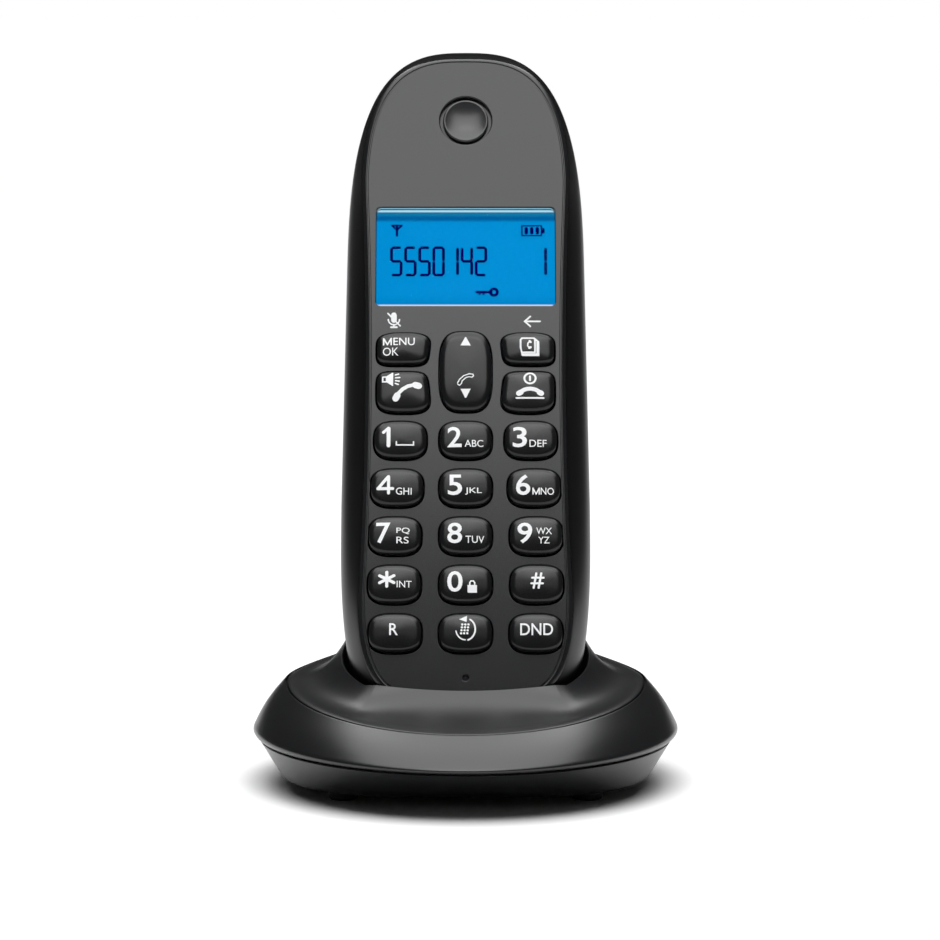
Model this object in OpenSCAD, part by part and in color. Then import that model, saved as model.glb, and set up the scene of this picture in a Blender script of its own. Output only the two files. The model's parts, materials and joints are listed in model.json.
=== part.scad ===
// Cordless phone: a handset leaning back in its charging base.
// Millimetres, +Z up, +X to the right, the keys face -Y. The origin is under the middle of the phone,
// at the level that the rubber feet stand on. The handset's own frame is x across, y from its face
// to its back and z along its length, and docked() leans that frame back into the cup.

/* [Handset] */
// Length of the handset from its bottom end to its crown
handset_len = 151.3; // [140:0.1:165]
// Half of the greatest width of the handset
grip_half = 25.6; // [24.6:0.1:27]
// Thickness of the handset from its face to its back
handset_deep = 25; // [24:0.5:30]
// Depth at which the front and rear housings meet
parting = 10.5; // [10:0.5:12]
// Wall of the handset housings
shell_wall = 1.8; // [1.4:0.1:2]
// Angle by which the handset leans back in the cup
lean = 25; // [20:1:26]
// Length of the rounded crown
crown_len = 50; // [40:1:55]
// Length over which the bottom end rounds in
sole_len = 45; // [35:1:50]

/* [Face] */
// Half width of the face at its waist
face_waist = 20.6; // [19.8:0.1:21]
// How much wider the face is above and below the waist
face_flare = 1.15; // [0.5:0.05:1.3]
// Height of the waist above the bottom end
waist_s = 73; // [70:1:76]
// Width of the bevel round the flat face
bevel_w = 1.4; // [0.8:0.1:1.6]
// Depth of that bevel
bevel_t = 0.6; // [0.3:0.1:0.8]

/* [Display] */
// Width of the display window
window_w = 37; // [30:0.5:37]
// Height of the display window
window_h = 21.8; // [16:0.1:22]
// Height of the window's centre above the bottom end
window_s = 101.4; // [100.5:0.1:103]
// Thickness of the window
window_t = 1.2; // [0.8:0.1:1.3]
// Corner radius of the window
window_r = 1; // [0.5:0.1:2]
// Thickness of the display glass
glass_t = 1.5; // [1:0.1:1.5]

/* [Keys] */
// Width of a digit key
key_w = 10.6; // [8:0.1:10.8]
// Height of a digit key
key_h = 8; // [6:0.1:8.2]
// How far a key stands out of the face
key_proud = 1.5; // [0.8:0.1:2]
// Travel of a key
key_travel = 0.8; // [0.4:0.1:0.8]
// Gap round a key in its hole
key_gap = 0.3; // [0.25:0.05:0.4]
// Lip under the face that keeps a key in its hole
key_lip = 0.45; // [0.2:0.05:0.45]
// Distance from one row of digit keys to the next
row_pitch = 10.3; // [10.2:0.1:10.4]
// Height of the top row of digit keys above the bottom end
row_top = 60.8; // [60.4:0.1:61]
// Distance of the outer columns from the middle
col_x = 14.4; // [14:0.1:14.6]
// Width of the rocker key
rocker_w = 10.5; // [8:0.1:11]
// Height of the rocker key
rocker_h = 17.3; // [14:0.1:17.4]
// Height of the rocker's centre above the bottom end
rocker_s = 75.75; // [75.7:0.05:76]

/* [Earpiece] */
// Radius of the earpiece disc
disc_r = 4.75; // [3:0.05:7]
// Gap round the disc in its recess
disc_gap = 0.65; // [0.3:0.05:0.8]
// Distance of the disc's centre below the crown
disc_drop = 19.3; // [18:0.1:21]
// Height of the microphone hole above the bottom end
mic_s = 10.45; // [9.5:0.05:11]

/* [Batteries] */
// Diameter of a battery cell
cell_d = 10.5; // [10.5]
// Length of a battery cell
cell_len = 44.5; // [44.5]
// Width of the battery cover
cover_w = 30; // [28:0.5:31]
// Length of the battery cover
cover_len = 56; // [54:0.5:58]
// Height of the battery cover's lower edge above the bottom end
cover_s = 54; // [53:0.5:55]
// Gap round the battery cover
cover_gap = 0.35; // [0.3:0.05:0.5]

/* [Base] */
// Width of the base
base_w = 87; // [84:0.5:100]
// Depth of the base
base_d = 100; // [98:0.5:115]
// Height of the widest line of the base
widest_z = 11; // [11:0.5:13]
// Height of the seam between the lower housing and the skirt
lower_seam_z = 9.4; // [9.2:0.1:9.8]
// Height of the upper seam at the front of the base
upper_seam_z = 16.1; // [16:0.1:17]
// Rise of the upper seam from the front of the base to its rear
seam_rise = 9.8; // [9:0.1:11]
// How far the upper seam lies inside the widest line at the sides
shoulder_w = 6.5; // [5:0.1:7]
// How far the upper seam lies inside the widest line at the front and rear
shoulder_d = 8; // [6:0.1:8.5]
// Width of the flat under the lower housing, with its rounded edge
under_w = 75; // [70:0.5:78]
// Depth of that flat
under_d = 68; // [66:0.5:84]
// Wall of the base housings
base_wall = 1.8; // [1.4:0.1:2]
// Height of the rubber feet under the lower housing
foot_h = 2; // [1.5:0.1:2.5]
// Radius of a rubber foot
foot_r = 2.9; // [2.4:0.1:3.2]
// Distance of a foot from the middle, across
foot_x = 24.5; // [20:0.5:25]
// Distance of a foot from the middle, front to rear
foot_y = 22; // [18:0.5:24]

/* [Cup] */
// How sharply the cover sweeps up to the cup's mouth
cover_sweep = 2.8; // [1.9:0.1:3]
// Gap between the handset and the cup round it
cup_gap = 0.5; // [0.4:0.05:0.8]
// Gap between the handset's bottom end and the cup's floor
cup_floor_gap = 1.6; // [1.4:0.1:1.8]
// Height of the cup's front lip above the handset's bottom end, along the handset
lip_s = 7.3; // [7:0.1:8]
// Height of the backrest above the handset's bottom end, along the handset
backrest_s = 45; // [40:0.5:46]
// Distance of a charging pin from the middle
pin_x = 8; // [6:0.1:9]
// Radius of a charging pin
pin_r = 1.2; // [0.8:0.1:1.4]
// Travel of a charging pin
pin_travel = 0.8; // [0.5:0.1:0.8]

/* [Sockets] */
// Width of a socket
socket_w = 12.4; // [12:0.1:13]
// Height of a socket
socket_h = 9; // [8.8:0.1:9]
// Depth of a socket
socket_d = 13; // [12:0.5:14]
// Width of a socket's mouth
mouth_w = 9.8; // [9:0.1:10]
// Height of a socket's mouth
mouth_h = 6.8; // [6.6:0.1:7]
// Depth of a socket's mouth
mouth_d = 10; // [9:0.5:11]
// Distance of a socket from the middle
socket_x = 12; // [11.8:0.1:12.5]
// Radius of the paging key
page_r = 3.2; // [2.4:0.1:3.3]
// Travel of the paging key
page_travel = 0.7; // [0.4:0.1:0.8]

/* [Hidden] */

$fn = 40;
// A hair's breadth by which a cut runs past the face that it goes through
past = 0.5;
// Half of the points round a handset outline and round a base outline
half_n = 24;
base_n = 32;

// The handset's local frame in the base's frame: where the bottom end of its face lies
dock_y = -24.2;
dock_z = 14.7;
waist_reach = 46;

// Depths inside the handset, from the face
lip_t = shell_wall + 0.3;
lip_deep = 1;
key_foot = lip_t + lip_deep;
dome_t = key_foot + key_travel + 0.3;
dome_h = 0.5;
dome_r = 1.5;
mat_t = dome_t + dome_h;
mat_deep = 0.7;
board_t = mat_t + mat_deep + 0.1;
board_deep = 1.2;
board_half = 17.5;
tray_wall = 1.2;
cover_deep = 1.8;
cell_clear = 0.3;
cell_pitch = cell_d + 2 * cell_clear + 0.4;
cell_t = handset_deep - cover_deep - cell_clear - cell_d / 2;
tray_t = cell_t - cell_d / 2 - cell_clear;
tray_half = cell_pitch / 2 + cell_d / 2 + cell_clear;
spring_room = 1.8;
tray_len = cell_len + 2 * spring_room;
tray_s = cover_s + (cover_len - tray_len) / 2;
disc_s = handset_len - disc_drop;
screw_r = 1.3;
screw_head_r = 2.3;
screw_fit = 0.15;
screw_spots = [[10.5, disc_s - 11], [8, 12]];
screw_head_t = 17;
pad_t = 12.5;
pad_deep = 4;
pad_w = 4;
pad_low = -0.1;
pin_t = pad_t + pad_deep / 2;

// Heights and places in the base
face_a = base_w / 2;
face_b = base_d / 2;
seam_a = face_a - shoulder_w;
seam_b = face_b - shoulder_d;
seam_gap = 0.3;
lap = 3;
floor_z = foot_h + base_wall;
post_r = 3;
post_spots = [[18, 25], [18, -25]];
base_board_z = lower_seam_z + 0.2;
base_board_t = 1.5;
socket_z = base_board_z + base_board_t + 0.1;
socket_y = face_b - 10;
socket_fit = 0.15;
page_z = 15;
page_tilt = 28;
page_y = face_b - 1.9;
page_proud = 0.9;
page_fit = 0.3;
page_foot = -4.6;
page_lip = 0.9;

// Outlines --------------------------------------------------------------------------------------

// A rounded end: 0 at the tip, 1 once u has run its length
function rounded_end(u, p, q) = pow(1 - pow(1 - min(max(u, 0), 1), p), q);

// Half width of the handset at its parting line, at height s
function body_half(s) =
    (grip_half - 0.014 * max(0, s - 50)) *
    rounded_end((handset_len - s) / crown_len, 2.9, 0.357) * rounded_end(s / sole_len, 2.6, 0.22);

// Half width of the face with its bevel, at height s
face_top = handset_len - 4.8;
face_low = 5;
function face_half(s) =
    (face_waist + face_flare * min(1, pow((s - waist_s) / waist_reach, 2))) *
    rounded_end((face_top - s) / 34, 2.9, 0.357) * rounded_end((s - face_low) / 22, 2.4, 0.22);

// Height of point i of an outline that runs from low to high, close together at both ends
function spread(i, low, high) = low + (high - low) * (1 + cos(180 * i / half_n)) / 2;

// One side of each outline, from the crown to the bottom end, as [x, s]
function body_side(cut) = [for (i = [0:half_n])
    let (s = spread(i, 0, handset_len))
    [body_half(s) * (1 - cut / grip_half), spread(i, cut, handset_len - cut)]];
function face_side(cut) = [for (i = [0:half_n])
    let (s = spread(i, face_low, face_top))
    [face_half(s) * (1 - cut / face_waist), spread(i, face_low + cut, face_top - cut)]];

// The other side follows by symmetry, and the outline lies at depth t
function ring(side, t) = concat(
    [for (p = side) [p[0], t, p[1]]],
    [for (i = [len(side) - 2:-1:1]) [-side[i][0], t, side[i][1]]]);

// How far the side wall has spread from the face, 0, to the parting line, 1
function spread_at(t) = pow(sin(90 * (t - bevel_t) / (parting - bevel_t)), 0.9);
function between(a, b, k) = [for (i = [0:len(a) - 1]) a[i] + (b[i] - a[i]) * k];
function front_ring(t, cut) =
    ring(between(face_side(cut), body_side(cut), t <= bevel_t ? 0 : spread_at(t)), t);

// The back narrows and its ends draw in towards the flat of the back
function back_share(t) = (t - parting) / (handset_deep - parting);
function back_half(u) = 1 - 0.42 * pow(u, 3);
function crown_drop(u) = 16 * pow(u, 2.2);
function sole_rise(u) = 6 * pow(u, 3);
function back_ring(t, cut, u) = ring([for (i = [0:half_n])
    let (s = spread(i, 0, handset_len))
    [body_half(s) * back_half(u) * (1 - cut / grip_half),
        spread(i, cut + sole_rise(u), handset_len - cut - crown_drop(u))]], t);
function back_at(t, cut) = back_ring(t, cut, back_share(t));

// Solids from rings of points -------------------------------------------------------------------

// Two triangles for each cell between neighbouring rings
function wall_faces(rings, n, closed) = [
    for (j = [0:rings - (closed ? 1 : 2)], i = [0:n - 1])
        let (k = (j + 1) % rings, m = (i + 1) % n)
        each [[j * n + i, k * n + i, k * n + m], [j * n + i, k * n + m, j * n + m]]];

// A cap in strips from one side of a symmetrical ring to the other
function cap_faces(at, n, flip) = [
    for (i = [0:n / 2 - 1])
        let (
            strip = i == 0 ? [0, 1, n - 1] :
                i == n / 2 - 1 ? [i, i + 1, n - i] : [i, i + 1, n - i - 1, n - i],
            turned = flip ? [for (k = [len(strip) - 1:-1:0]) strip[k]] : strip)
        [for (p = turned) p + at]];

module closed_loft(rings) {
    n = len(rings[0]);
    polyhedron([for (r = rings) each r],
        concat(wall_faces(len(rings), n, false), cap_faces(0, n, false),
            cap_faces((len(rings) - 1) * n, n, true)));
}

module hoop_loft(rings) {
    n = len(rings[0]);
    polyhedron([for (r = rings) each r], wall_faces(len(rings), n, true));
}

// Handset ---------------------------------------------------------------------------------------

module leaning() {
    translate([0, dock_y, dock_z]) rotate([-lean, 0, 0]) children();
}

// The origin lies under the middle of the whole phone, so the base stands a little in front of it
back_depths = [18, 19, 20, 21, 22];
back_reach = dock_y + max([for (t = back_depths, p = back_at(t, 0))
    p[1] * cos(lean) + p[2] * sin(lean)]);
base_y = (face_b - back_reach) / 2;

module placed() {
    translate([0, base_y, 0]) children();
}

module docked() {
    placed() leaning() children();
}

// A prism whose outline lies in the face, from depth t for the given depth
module from_face(t, deep) {
    translate([0, t + deep, 0]) rotate([90, 0, 0]) linear_extrude(deep) children();
}

// A pillow outline: n sets how square it is, and the top and bottom edges may be arched
function pillow(w, h, n, top_arch, low_arch, slant) = [
    for (i = [0:31])
        let (
            c = cos(11.25 * i + 5.625),
            d = sin(11.25 * i + 5.625),
            u = sign(c) * pow(abs(c), 2 / n),
            v = sign(d) * pow(abs(d), 2 / n),
            arch = (v > 0 ? top_arch * v : low_arch * v) * (1 - u * u))
        [u * w / 2 + slant * v * (1 + u) / 2, v * (h / 2) + arch]];

// Column offset of an outer key in the row at height s
function col_at(s) = col_x - 0.0013 * pow(s - 32, 2);

// Keys: name, x, s, width, height, squareness, top arch, bottom arch, slant, mirrored
function digit(name, col, row) =
    let (s = row_top - row * row_pitch)
    [name, col * col_at(s), s, key_w, key_h, 2.9, 0, 0, 0, false];
side_key_x = 12.9;
KEYS = concat(
    [
        ["key_menu", -side_key_x, 80.4, 10.6, 6.3, 4.2, 0.6, 0, 0.4, false],
        ["key_phonebook", side_key_x, 80.4, 10.6, 6.3, 4.2, 0.6, 0, 0.4, true],
        ["key_talk", -side_key_x, 71.5, 10.6, 8.3, 4.4, 0, 0.6, -0.4, false],
        ["key_end", side_key_x, 71.5, 10.6, 8.3, 4.4, 0, 0.6, -0.4, true],
        ["key_rocker", 0, rocker_s, rocker_w, rocker_h, 3.2, 0, 0, 0, false]
    ],
    [for (r = [0:2], c = [0:2]) digit(str("key_", 3 * r + c + 1), c - 1, r)],
    [
        digit("key_star", -1, 3), digit("key_0", 0, 3), digit("key_hash", 1, 3),
        digit("key_recall", -1, 4), digit("key_redial", 0, 4), digit("key_silent", 1, 4)
    ]);
function key_of(name) = [for (k = KEYS) if (k[0] == name) k][0];

// The outline of key k, grown by a margin
module key_shape(k, grow) {
    points = pillow(k[3] + 2 * grow, k[4] + 2 * grow, k[5], k[6], k[7], k[8]);
    translate([k[1], k[2]])
        polygon(k[9] ? [for (i = [31:-1:0]) [-points[i][0], points[i][1]]] : points);
}

// room is the extra space above the lip, which a key that tilts needs
module key_cap(name, room = 0) {
    k = key_of(name);
    color([0.17, 0.18, 0.19]) docked() {
        from_face(-key_proud, key_proud + lip_t + room + 0.1) key_shape(k, 0);
        from_face(lip_t + room, lip_deep - room) key_shape(k, key_lip);
    }
}

// The rocker tilts on a round ridge across its foot
tilt_room = 0.3;
ridge_r = 0.8;
module rocker_ridge() {
    long = rocker_w - 2.5;
    color([0.17, 0.18, 0.19]) docked()
        translate([-long / 2, key_foot, rocker_s]) rotate([0, 90, 0]) cylinder(r = ridge_r, h = long);
}

module rocker_cap() {
    key_cap("key_rocker", tilt_room);
    rocker_ridge();
}

module rounded_plate(w, h, r) {
    for (x = [-1, 1], y = [-1, 1]) translate([x * (w / 2 - r), y * (h / 2 - r)]) circle(r);
    square([w - 2 * r, h], center = true);
    square([w, h - 2 * r], center = true);
}

// A round piece whose axis runs through the face, from depth t
module post(x, s, t, deep, r) {
    translate([x, t + deep, s]) rotate([90, 0, 0]) cylinder(r = r, h = deep);
}

module screw_posts(t, deep, r) {
    for (p = screw_spots, side = [-1, 1]) post(side * p[0], p[1], t, deep, r);
}

window_fit = 0.1;
ledge = 0.7;
// How far the inner face lies inside the face's outline, so that the key lips fit behind it
skin_cut = 0.3;
disc_recess = 1.1;
sound_hole_r = 0.6;

module handset_front_housing() {
    color([0.2, 0.21, 0.22]) docked() {
        difference() {
            closed_loft([
                ring(face_side(bevel_w), 0), front_ring(bevel_t, 0), front_ring(2.2, 0),
                front_ring(4.4, 0), front_ring(7, 0), front_ring(parting, 0),
                front_ring(parting, shell_wall), front_ring(7, shell_wall),
                front_ring(4.4, shell_wall), front_ring(2.6, 2 * shell_wall / 3),
                ring(face_side(skin_cut), shell_wall)
            ]);
            for (k = KEYS) from_face(-past, shell_wall + 2 * past) key_shape(k, key_gap);
            translate([0, 0, window_s]) {
                from_face(-past, past + window_t + window_fit)
                    rounded_plate(window_w + 2 * window_fit, window_h + 2 * window_fit, window_r);
                from_face(0, shell_wall + past)
                    rounded_plate(window_w - 2 * ledge, window_h - 2 * ledge, window_r);
            }
            post(0, disc_s, -past, past + disc_recess, disc_r + disc_gap);
            for (a = [0:60:300])
                post(3 * cos(a), disc_s + 3 * sin(a), 0, shell_wall + past, sound_hole_r);
            post(0, mic_s, -past, shell_wall + 2 * past, 0.7);
        }
        difference() {
            screw_posts(shell_wall - 0.1, parting - shell_wall - 0.1, 2.6);
            screw_posts(4, parting, screw_r + screw_fit);
        }
    }
}

// The opening for the battery cover, and the cover that fills it
module cover_block(grow, t, deep) {
    translate([-cover_w / 2 - grow, t, cover_s - grow])
        cube([cover_w + 2 * grow, deep, cover_len + 2 * grow]);
}

module tray_block(grow, t, deep) {
    translate([-tray_half - grow, t, tray_s - grow])
        cube([2 * (tray_half + grow), deep, tray_len + 2 * grow]);
}

// The seat round the tray that the cover lies on
seat_w = 2.3;
seat_deep = 1.4;
seat_gap = 0.2;
seat_t = handset_deep - cover_deep - seat_deep;

ringer_s = disc_s - 4;

module handset_rear_housing() {
    inner_t = handset_deep - shell_wall;
    inner_u = back_share(inner_t);
    color([0.13, 0.135, 0.14]) docked() difference() {
        union() {
            closed_loft([
                back_ring(inner_t, shell_wall, inner_u), back_at(21, shell_wall),
                back_at(18, shell_wall), back_at(14.5, shell_wall), back_at(parting, shell_wall),
                back_at(parting, 0), back_at(14.5, 0), back_at(18, 0), back_at(21, 0),
                back_at(23, 0), back_at(24.5, 0), back_at(handset_deep, 0)
            ]);
            difference() {
                union() {
                    tray_block(tray_wall, tray_t - tray_wall, seat_t - tray_t + tray_wall);
                    cover_block(seat_w, seat_t, seat_deep);
                }
                tray_block(0, tray_t, handset_deep);
            }
            screw_posts(parting + 0.1, handset_deep - shell_wall - parting, screw_head_r + 1.2);
        }
        cover_block(0, seat_t + seat_deep - seat_gap, handset_deep);
        screw_posts(parting - past, handset_deep, screw_r + screw_fit);
        screw_posts(screw_head_t, handset_deep, screw_head_r + screw_fit);
        for (i = [-2:2])
            translate([-5, handset_deep - 7, ringer_s + 2.6 * i - 0.5]) cube([10, 9, 1]);
        for (side = [-1, 1])
            translate([side * pin_x - pad_w / 2 - 0.1, pad_t - 0.1, -past])
                cube([pad_w + 0.2, pad_deep + 0.2, 6]);
    }
}

module battery_cover() {
    color([0.12, 0.125, 0.13]) docked() difference() {
        intersection() {
            closed_loft([
                back_at(21, 0), back_at(23, 0), back_at(24.5, 0), back_at(handset_deep, 0)
            ]);
            cover_block(-cover_gap, handset_deep - cover_deep, handset_deep);
        }
        for (i = [0:4])
            translate([-6, handset_deep - 0.5, cover_s + cover_len - 14 + 2 * i])
                cube([12, past + 1, 0.9]);
    }
}

module display_window() {
    color([0.35, 0.75, 1, 0.5]) docked() translate([0, 0, window_s])
        from_face(0, window_t) rounded_plate(window_w, window_h, window_r);
}

glass_in = 0.8;
module lcd_glass() {
    color([0.1, 0.45, 0.85]) docked() translate([0, 0, window_s])
        from_face(shell_wall + 0.1, glass_t)
            rounded_plate(window_w - 2 * glass_in, window_h - 2 * glass_in, 0.6);
}

module lcd_backlight() {
    t = shell_wall + 0.1 + glass_t;
    color([0.92, 0.94, 0.96]) docked() translate([0, 0, window_s])
        from_face(t, board_t - t) rounded_plate(window_w - 1, window_h - 1, 1);
}

module keypad_mat() {
    color([0.5, 0.5, 0.52]) docked() {
        translate([0, 0, 50.5]) from_face(mat_t, mat_deep) rounded_plate(36, 70, 3);
        for (k = KEYS) post(k[1], k[2], dome_t, dome_h + 0.2, dome_r);
    }
}

module handset_board() {
    low = 17;
    high = disc_s - 14;
    color([0.1, 0.35, 0.2]) docked() {
        translate([0, 0, (low + high) / 2]) from_face(board_t, board_deep)
            rounded_plate(2 * board_half, high - low, 2);
        translate([-9, board_t + board_deep, 34]) cube([12, 1.2, 12]);
        translate([4, board_t + board_deep, 40]) cube([7, 1, 5]);
    }
}

module earpiece_disc() {
    color([0.16, 0.165, 0.17]) docked() difference() {
        post(0, disc_s, 0.1, disc_recess - 0.2, disc_r);
        post(0, disc_s, -past, past + 0.4, disc_r - 0.9);
    }
}

module earpiece_speaker() {
    color([0.55, 0.55, 0.57]) docked() {
        post(0, disc_s, shell_wall + 0.1, 2.4, 8.5);
        post(0, disc_s, shell_wall + 2.4, 2.2, 6);
    }
}

module microphone() {
    color([0.7, 0.7, 0.72]) docked() post(0, mic_s, shell_wall + 0.1, 2.4, 2.2);
}

module ringer_speaker() {
    color([0.55, 0.55, 0.57]) docked() {
        post(0, ringer_s, 13.4, 2, 6);
        post(0, ringer_s, 15.3, 2.4, 8);
    }
}

// The pads lie in the bottom end, over the charging pins
module handset_charge_pads() {
    color([0.82, 0.8, 0.72]) docked() for (side = [-1, 1])
        translate([side * pin_x - pad_w / 2, pad_t, pad_low]) cube([pad_w, pad_deep, 3]);
}

cell_low = tray_s + spring_room;
nub_h = 0.9;

module battery_contacts() {
    plate = 0.4;
    color([0.8, 0.8, 0.78]) docked() for (side = [-1, 1]) {
        x = side * cell_pitch / 2;
        translate([x - 4, cell_t - 4, tray_s]) cube([8, 8, plate]);
        translate([x - 4, cell_t - 4, tray_s + tray_len - plate]) cube([8, 8, plate]);
        for (i = [0:2])
            translate([x, cell_t, tray_s + plate + 0.15 + 0.45 * i])
                rotate_extrude() translate([3 - 0.5 * i, 0]) circle(r = 0.3, $fn = 16);
    }
}

// up is 1 when the cell's nub points to the crown, -1 when it points to the bottom end
module battery_cell(side, up) {
    color([0.25, 0.5, 0.3]) docked() translate([side * cell_pitch / 2, cell_t, cell_low + cell_len / 2])
        mirror([0, 0, up > 0 ? 0 : 1]) {
            translate([0, 0, -cell_len / 2]) cylinder(d = cell_d, h = cell_len - nub_h);
            translate([0, 0, cell_len / 2 - nub_h - 0.1]) cylinder(r = 1.9, h = nub_h + 0.1);
        }
}

module battery_cell_left() { battery_cell(-1, 1); }
module battery_cell_right() { battery_cell(1, -1); }

module handset_screws() {
    color([0.6, 0.6, 0.6]) docked() difference() {
        union() {
            screw_posts(4.5, screw_head_t - 4.4, screw_r);
            screw_posts(screw_head_t, 1.6, screw_head_r);
        }
        for (p = screw_spots, side = [-1, 1])
            translate([side * p[0], screw_head_t + 1.6, p[1]]) {
                cube([0.6, 1.6, 2.6], center = true);
                cube([2.6, 1.6, 0.6], center = true);
            }
    }
}

// Base ------------------------------------------------------------------------------------------

// An ellipse of base_n * 2 points, from the front round to the right
function oval(a, b, z) = [for (i = [0:2 * base_n - 1])
    let (f = 180 * i / base_n) [a * sin(f), -b * cos(f), z]];

// The squarer outline of the flat under the base, with the points in the same order
under_square = 3;
function full_power(v) = sign(v) * pow(abs(v), 2 / under_square);
function under(a, b, z) = [for (i = [0:2 * base_n - 1])
    let (f = 180 * i / base_n) [a * full_power(sin(f)), -b * full_power(cos(f)), z]];

// Height of the upper seam at depth y of a point on it
function seam_z(y) = upper_seam_z + seam_rise * (y + seam_b) / (2 * seam_b);

// The skirt from its widest line, k = 0, to the upper seam, k = 1
function skirt_ring(k, cut, drop = 0) =
    let (
        bulge = 0.6 * sin(180 * k),
        a = face_a - 0.3 + (seam_a - face_a + 0.3) * k + bulge - cut,
        b = face_b - 0.3 + (seam_b - face_b + 0.3) * k + bulge - cut)
    [for (i = [0:2 * base_n - 1])
        let (
            f = 180 * i / base_n,
            low = widest_z + 1,
            top = seam_z(-seam_b * cos(f)))
        [a * sin(f), -b * cos(f), low + (top - low) * k - drop]];

// How far the skirt's edge stands above the ledge that the top cover lies over
seam_deep = 0.6;

module socket_bay() {
    for (side = [-1, 1])
        translate([side * socket_x - socket_w / 2 - socket_fit, socket_y - socket_d - socket_fit,
                socket_z - socket_fit])
            cube([socket_w + 2 * socket_fit, 60, socket_h + 2 * socket_fit]);
}

module page_axis() {
    translate([0, page_y, page_z]) rotate([page_tilt - 90, 0, 0]) children();
}

module base_skirt() {
    color([0.15, 0.155, 0.16]) placed() difference() {
        hoop_loft([
            oval(face_a - 1.1, face_b - 1.1, lower_seam_z + 0.2),
            oval(face_a - 0.3, face_b - 0.3, widest_z - 0.9),
            oval(face_a, face_b, widest_z),
            skirt_ring(0, 0), skirt_ring(0.25, 0), skirt_ring(0.5, 0), skirt_ring(0.75, 0),
            skirt_ring(0.96, 0), skirt_ring(1, 0.1), skirt_ring(1, 0.1, seam_deep),
            skirt_ring(1, base_wall, seam_deep + 0.1), skirt_ring(0.75, base_wall),
            skirt_ring(0.5, base_wall),
            skirt_ring(0.25, base_wall), skirt_ring(0, base_wall),
            oval(face_a - base_wall, face_b - base_wall, widest_z),
            oval(face_a - base_wall - 0.3, face_b - base_wall - 0.3, lower_seam_z + 0.2)
        ]);
        socket_bay();
        page_axis() translate([0, 0, -20]) cylinder(r = page_r + page_fit, h = 30);
    }
}

module base_bottom() {
    low_a = under_w / 2;
    low_b = under_d / 2;
    rim = base_wall + 0.9;
    color([0.12, 0.125, 0.13]) placed() difference() {
        union() {
            closed_loft([
                under(low_a - 2.4, low_b - 2.4, foot_h), under(low_a - 0.8, low_b - 0.8, foot_h + 0.35),
                under(low_a + 0.4, low_b + 0.4, foot_h + 1.1),
                oval(face_a - 1.3, face_b - 1.3, lower_seam_z - 0.2),
                oval(face_a - 1.7, face_b - 1.7, lower_seam_z),
                oval(face_a - rim, face_b - rim, lower_seam_z),
                oval(face_a - rim, face_b - rim, lower_seam_z + 1.4),
                oval(face_a - rim - 1.3, face_b - rim - 1.3, lower_seam_z + 1.4),
                oval(face_a - rim - 1.4, face_b - rim - 3, lower_seam_z - 0.6),
                under(low_a - 1.2, low_b - 1.2, floor_z + 0.5), under(low_a - 3, low_b - 3, floor_z)
            ]);
            for (p = post_spots, side = [-1, 1])
                translate([side * p[0], p[1], floor_z - 0.2])
                    cylinder(r = post_r, h = base_board_z - floor_z + 0.1);
        }
        for (p = post_spots, side = [-1, 1]) translate([side * p[0], p[1], 0]) {
            cylinder(r = screw_r + screw_fit, h = 30);
            cylinder(r = screw_head_r + screw_fit, h = foot_h + 2);
        }
        for (x = [-1, 1], y = [-1, 1])
            translate([x * foot_x, y * foot_y, 0]) cylinder(r = foot_r + 0.1, h = foot_h + 0.8);
        page_axis() translate([0, 0, page_foot - page_travel - page_fit])
            cylinder(r = page_r + page_lip + page_fit, h = 8);
    }
}

module base_screws() {
    color([0.6, 0.6, 0.6]) placed() difference() {
        for (p = post_spots, side = [-1, 1]) translate([side * p[0], p[1], 0]) {
            translate([0, 0, foot_h + 0.4]) cylinder(r = screw_head_r, h = 1.6);
            translate([0, 0, foot_h + 1.9]) cylinder(r = screw_r, h = 5.4);
        }
        for (p = post_spots, side = [-1, 1])
            translate([side * p[0], p[1], foot_h + 0.4]) {
                cube([0.6, 2.6, 1.6], center = true);
                cube([2.6, 0.6, 1.6], center = true);
            }
    }
}

module rubber_feet() {
    color([0.06, 0.06, 0.06]) placed() for (x = [-1, 1], y = [-1, 1])
        translate([x * foot_x, y * foot_y, 0]) {
            cylinder(r1 = foot_r - 0.4, r2 = foot_r, h = 0.4, $fn = 48);
            translate([0, 0, 0.4]) cylinder(r = foot_r, h = foot_h + 0.4, $fn = 48);
        }
}

// The cup ----------------------------------------------------------------------------------------

// Depths at which the handset's section is taken, between its face and its back
cup_depths = [bevel_t, 2.5, 5, 7.5, parting, 13, 15.5, 18, 20.5, 22.5, 24, handset_deep];
face_steps = 7;
back_steps = 5;

// Half width of the handset at depth t and height s
function section_half(t, s) =
    t <= parting
        ? face_half(s) + (body_half(s) - face_half(s)) * (t <= bevel_t ? 0 : spread_at(t))
        : body_half(s) * back_half(back_share(t));

// Half of the section at height s, grown by a margin, as [x, t], from the face round to the back
function half_section(s, grow) =
    let (
        front = max(face_half(s), 8) - bevel_w + grow / 2,
        back = section_half(handset_deep, s) + grow / 2)
    concat(
        [for (i = [0:face_steps])
            let (k = i / face_steps) [front * k, -grow - 0.4 * (1 - k * k)]],
        [for (t = cup_depths) [max(section_half(t, s), 9) + grow, t]],
        [for (i = [back_steps:-1:0])
            let (k = i / back_steps) [back * k, handset_deep + grow + 0.4 * (1 - k * k)]]);

// Where the mouth of the cup lies at a point of the section: a slope at the sides, and a backrest
lip_arc = 1.3;
mouth_slope = 0.78;
backrest_rise = backrest_s - lip_s - mouth_slope * handset_deep;
function mouth_s(p) =
    let (t = min(max(p[1], 0), handset_deep))
    lip_s + mouth_slope * t + backrest_rise * pow(t / handset_deep, 8) +
    lip_arc * min(1, pow(p[0] / 20, 2));

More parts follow.
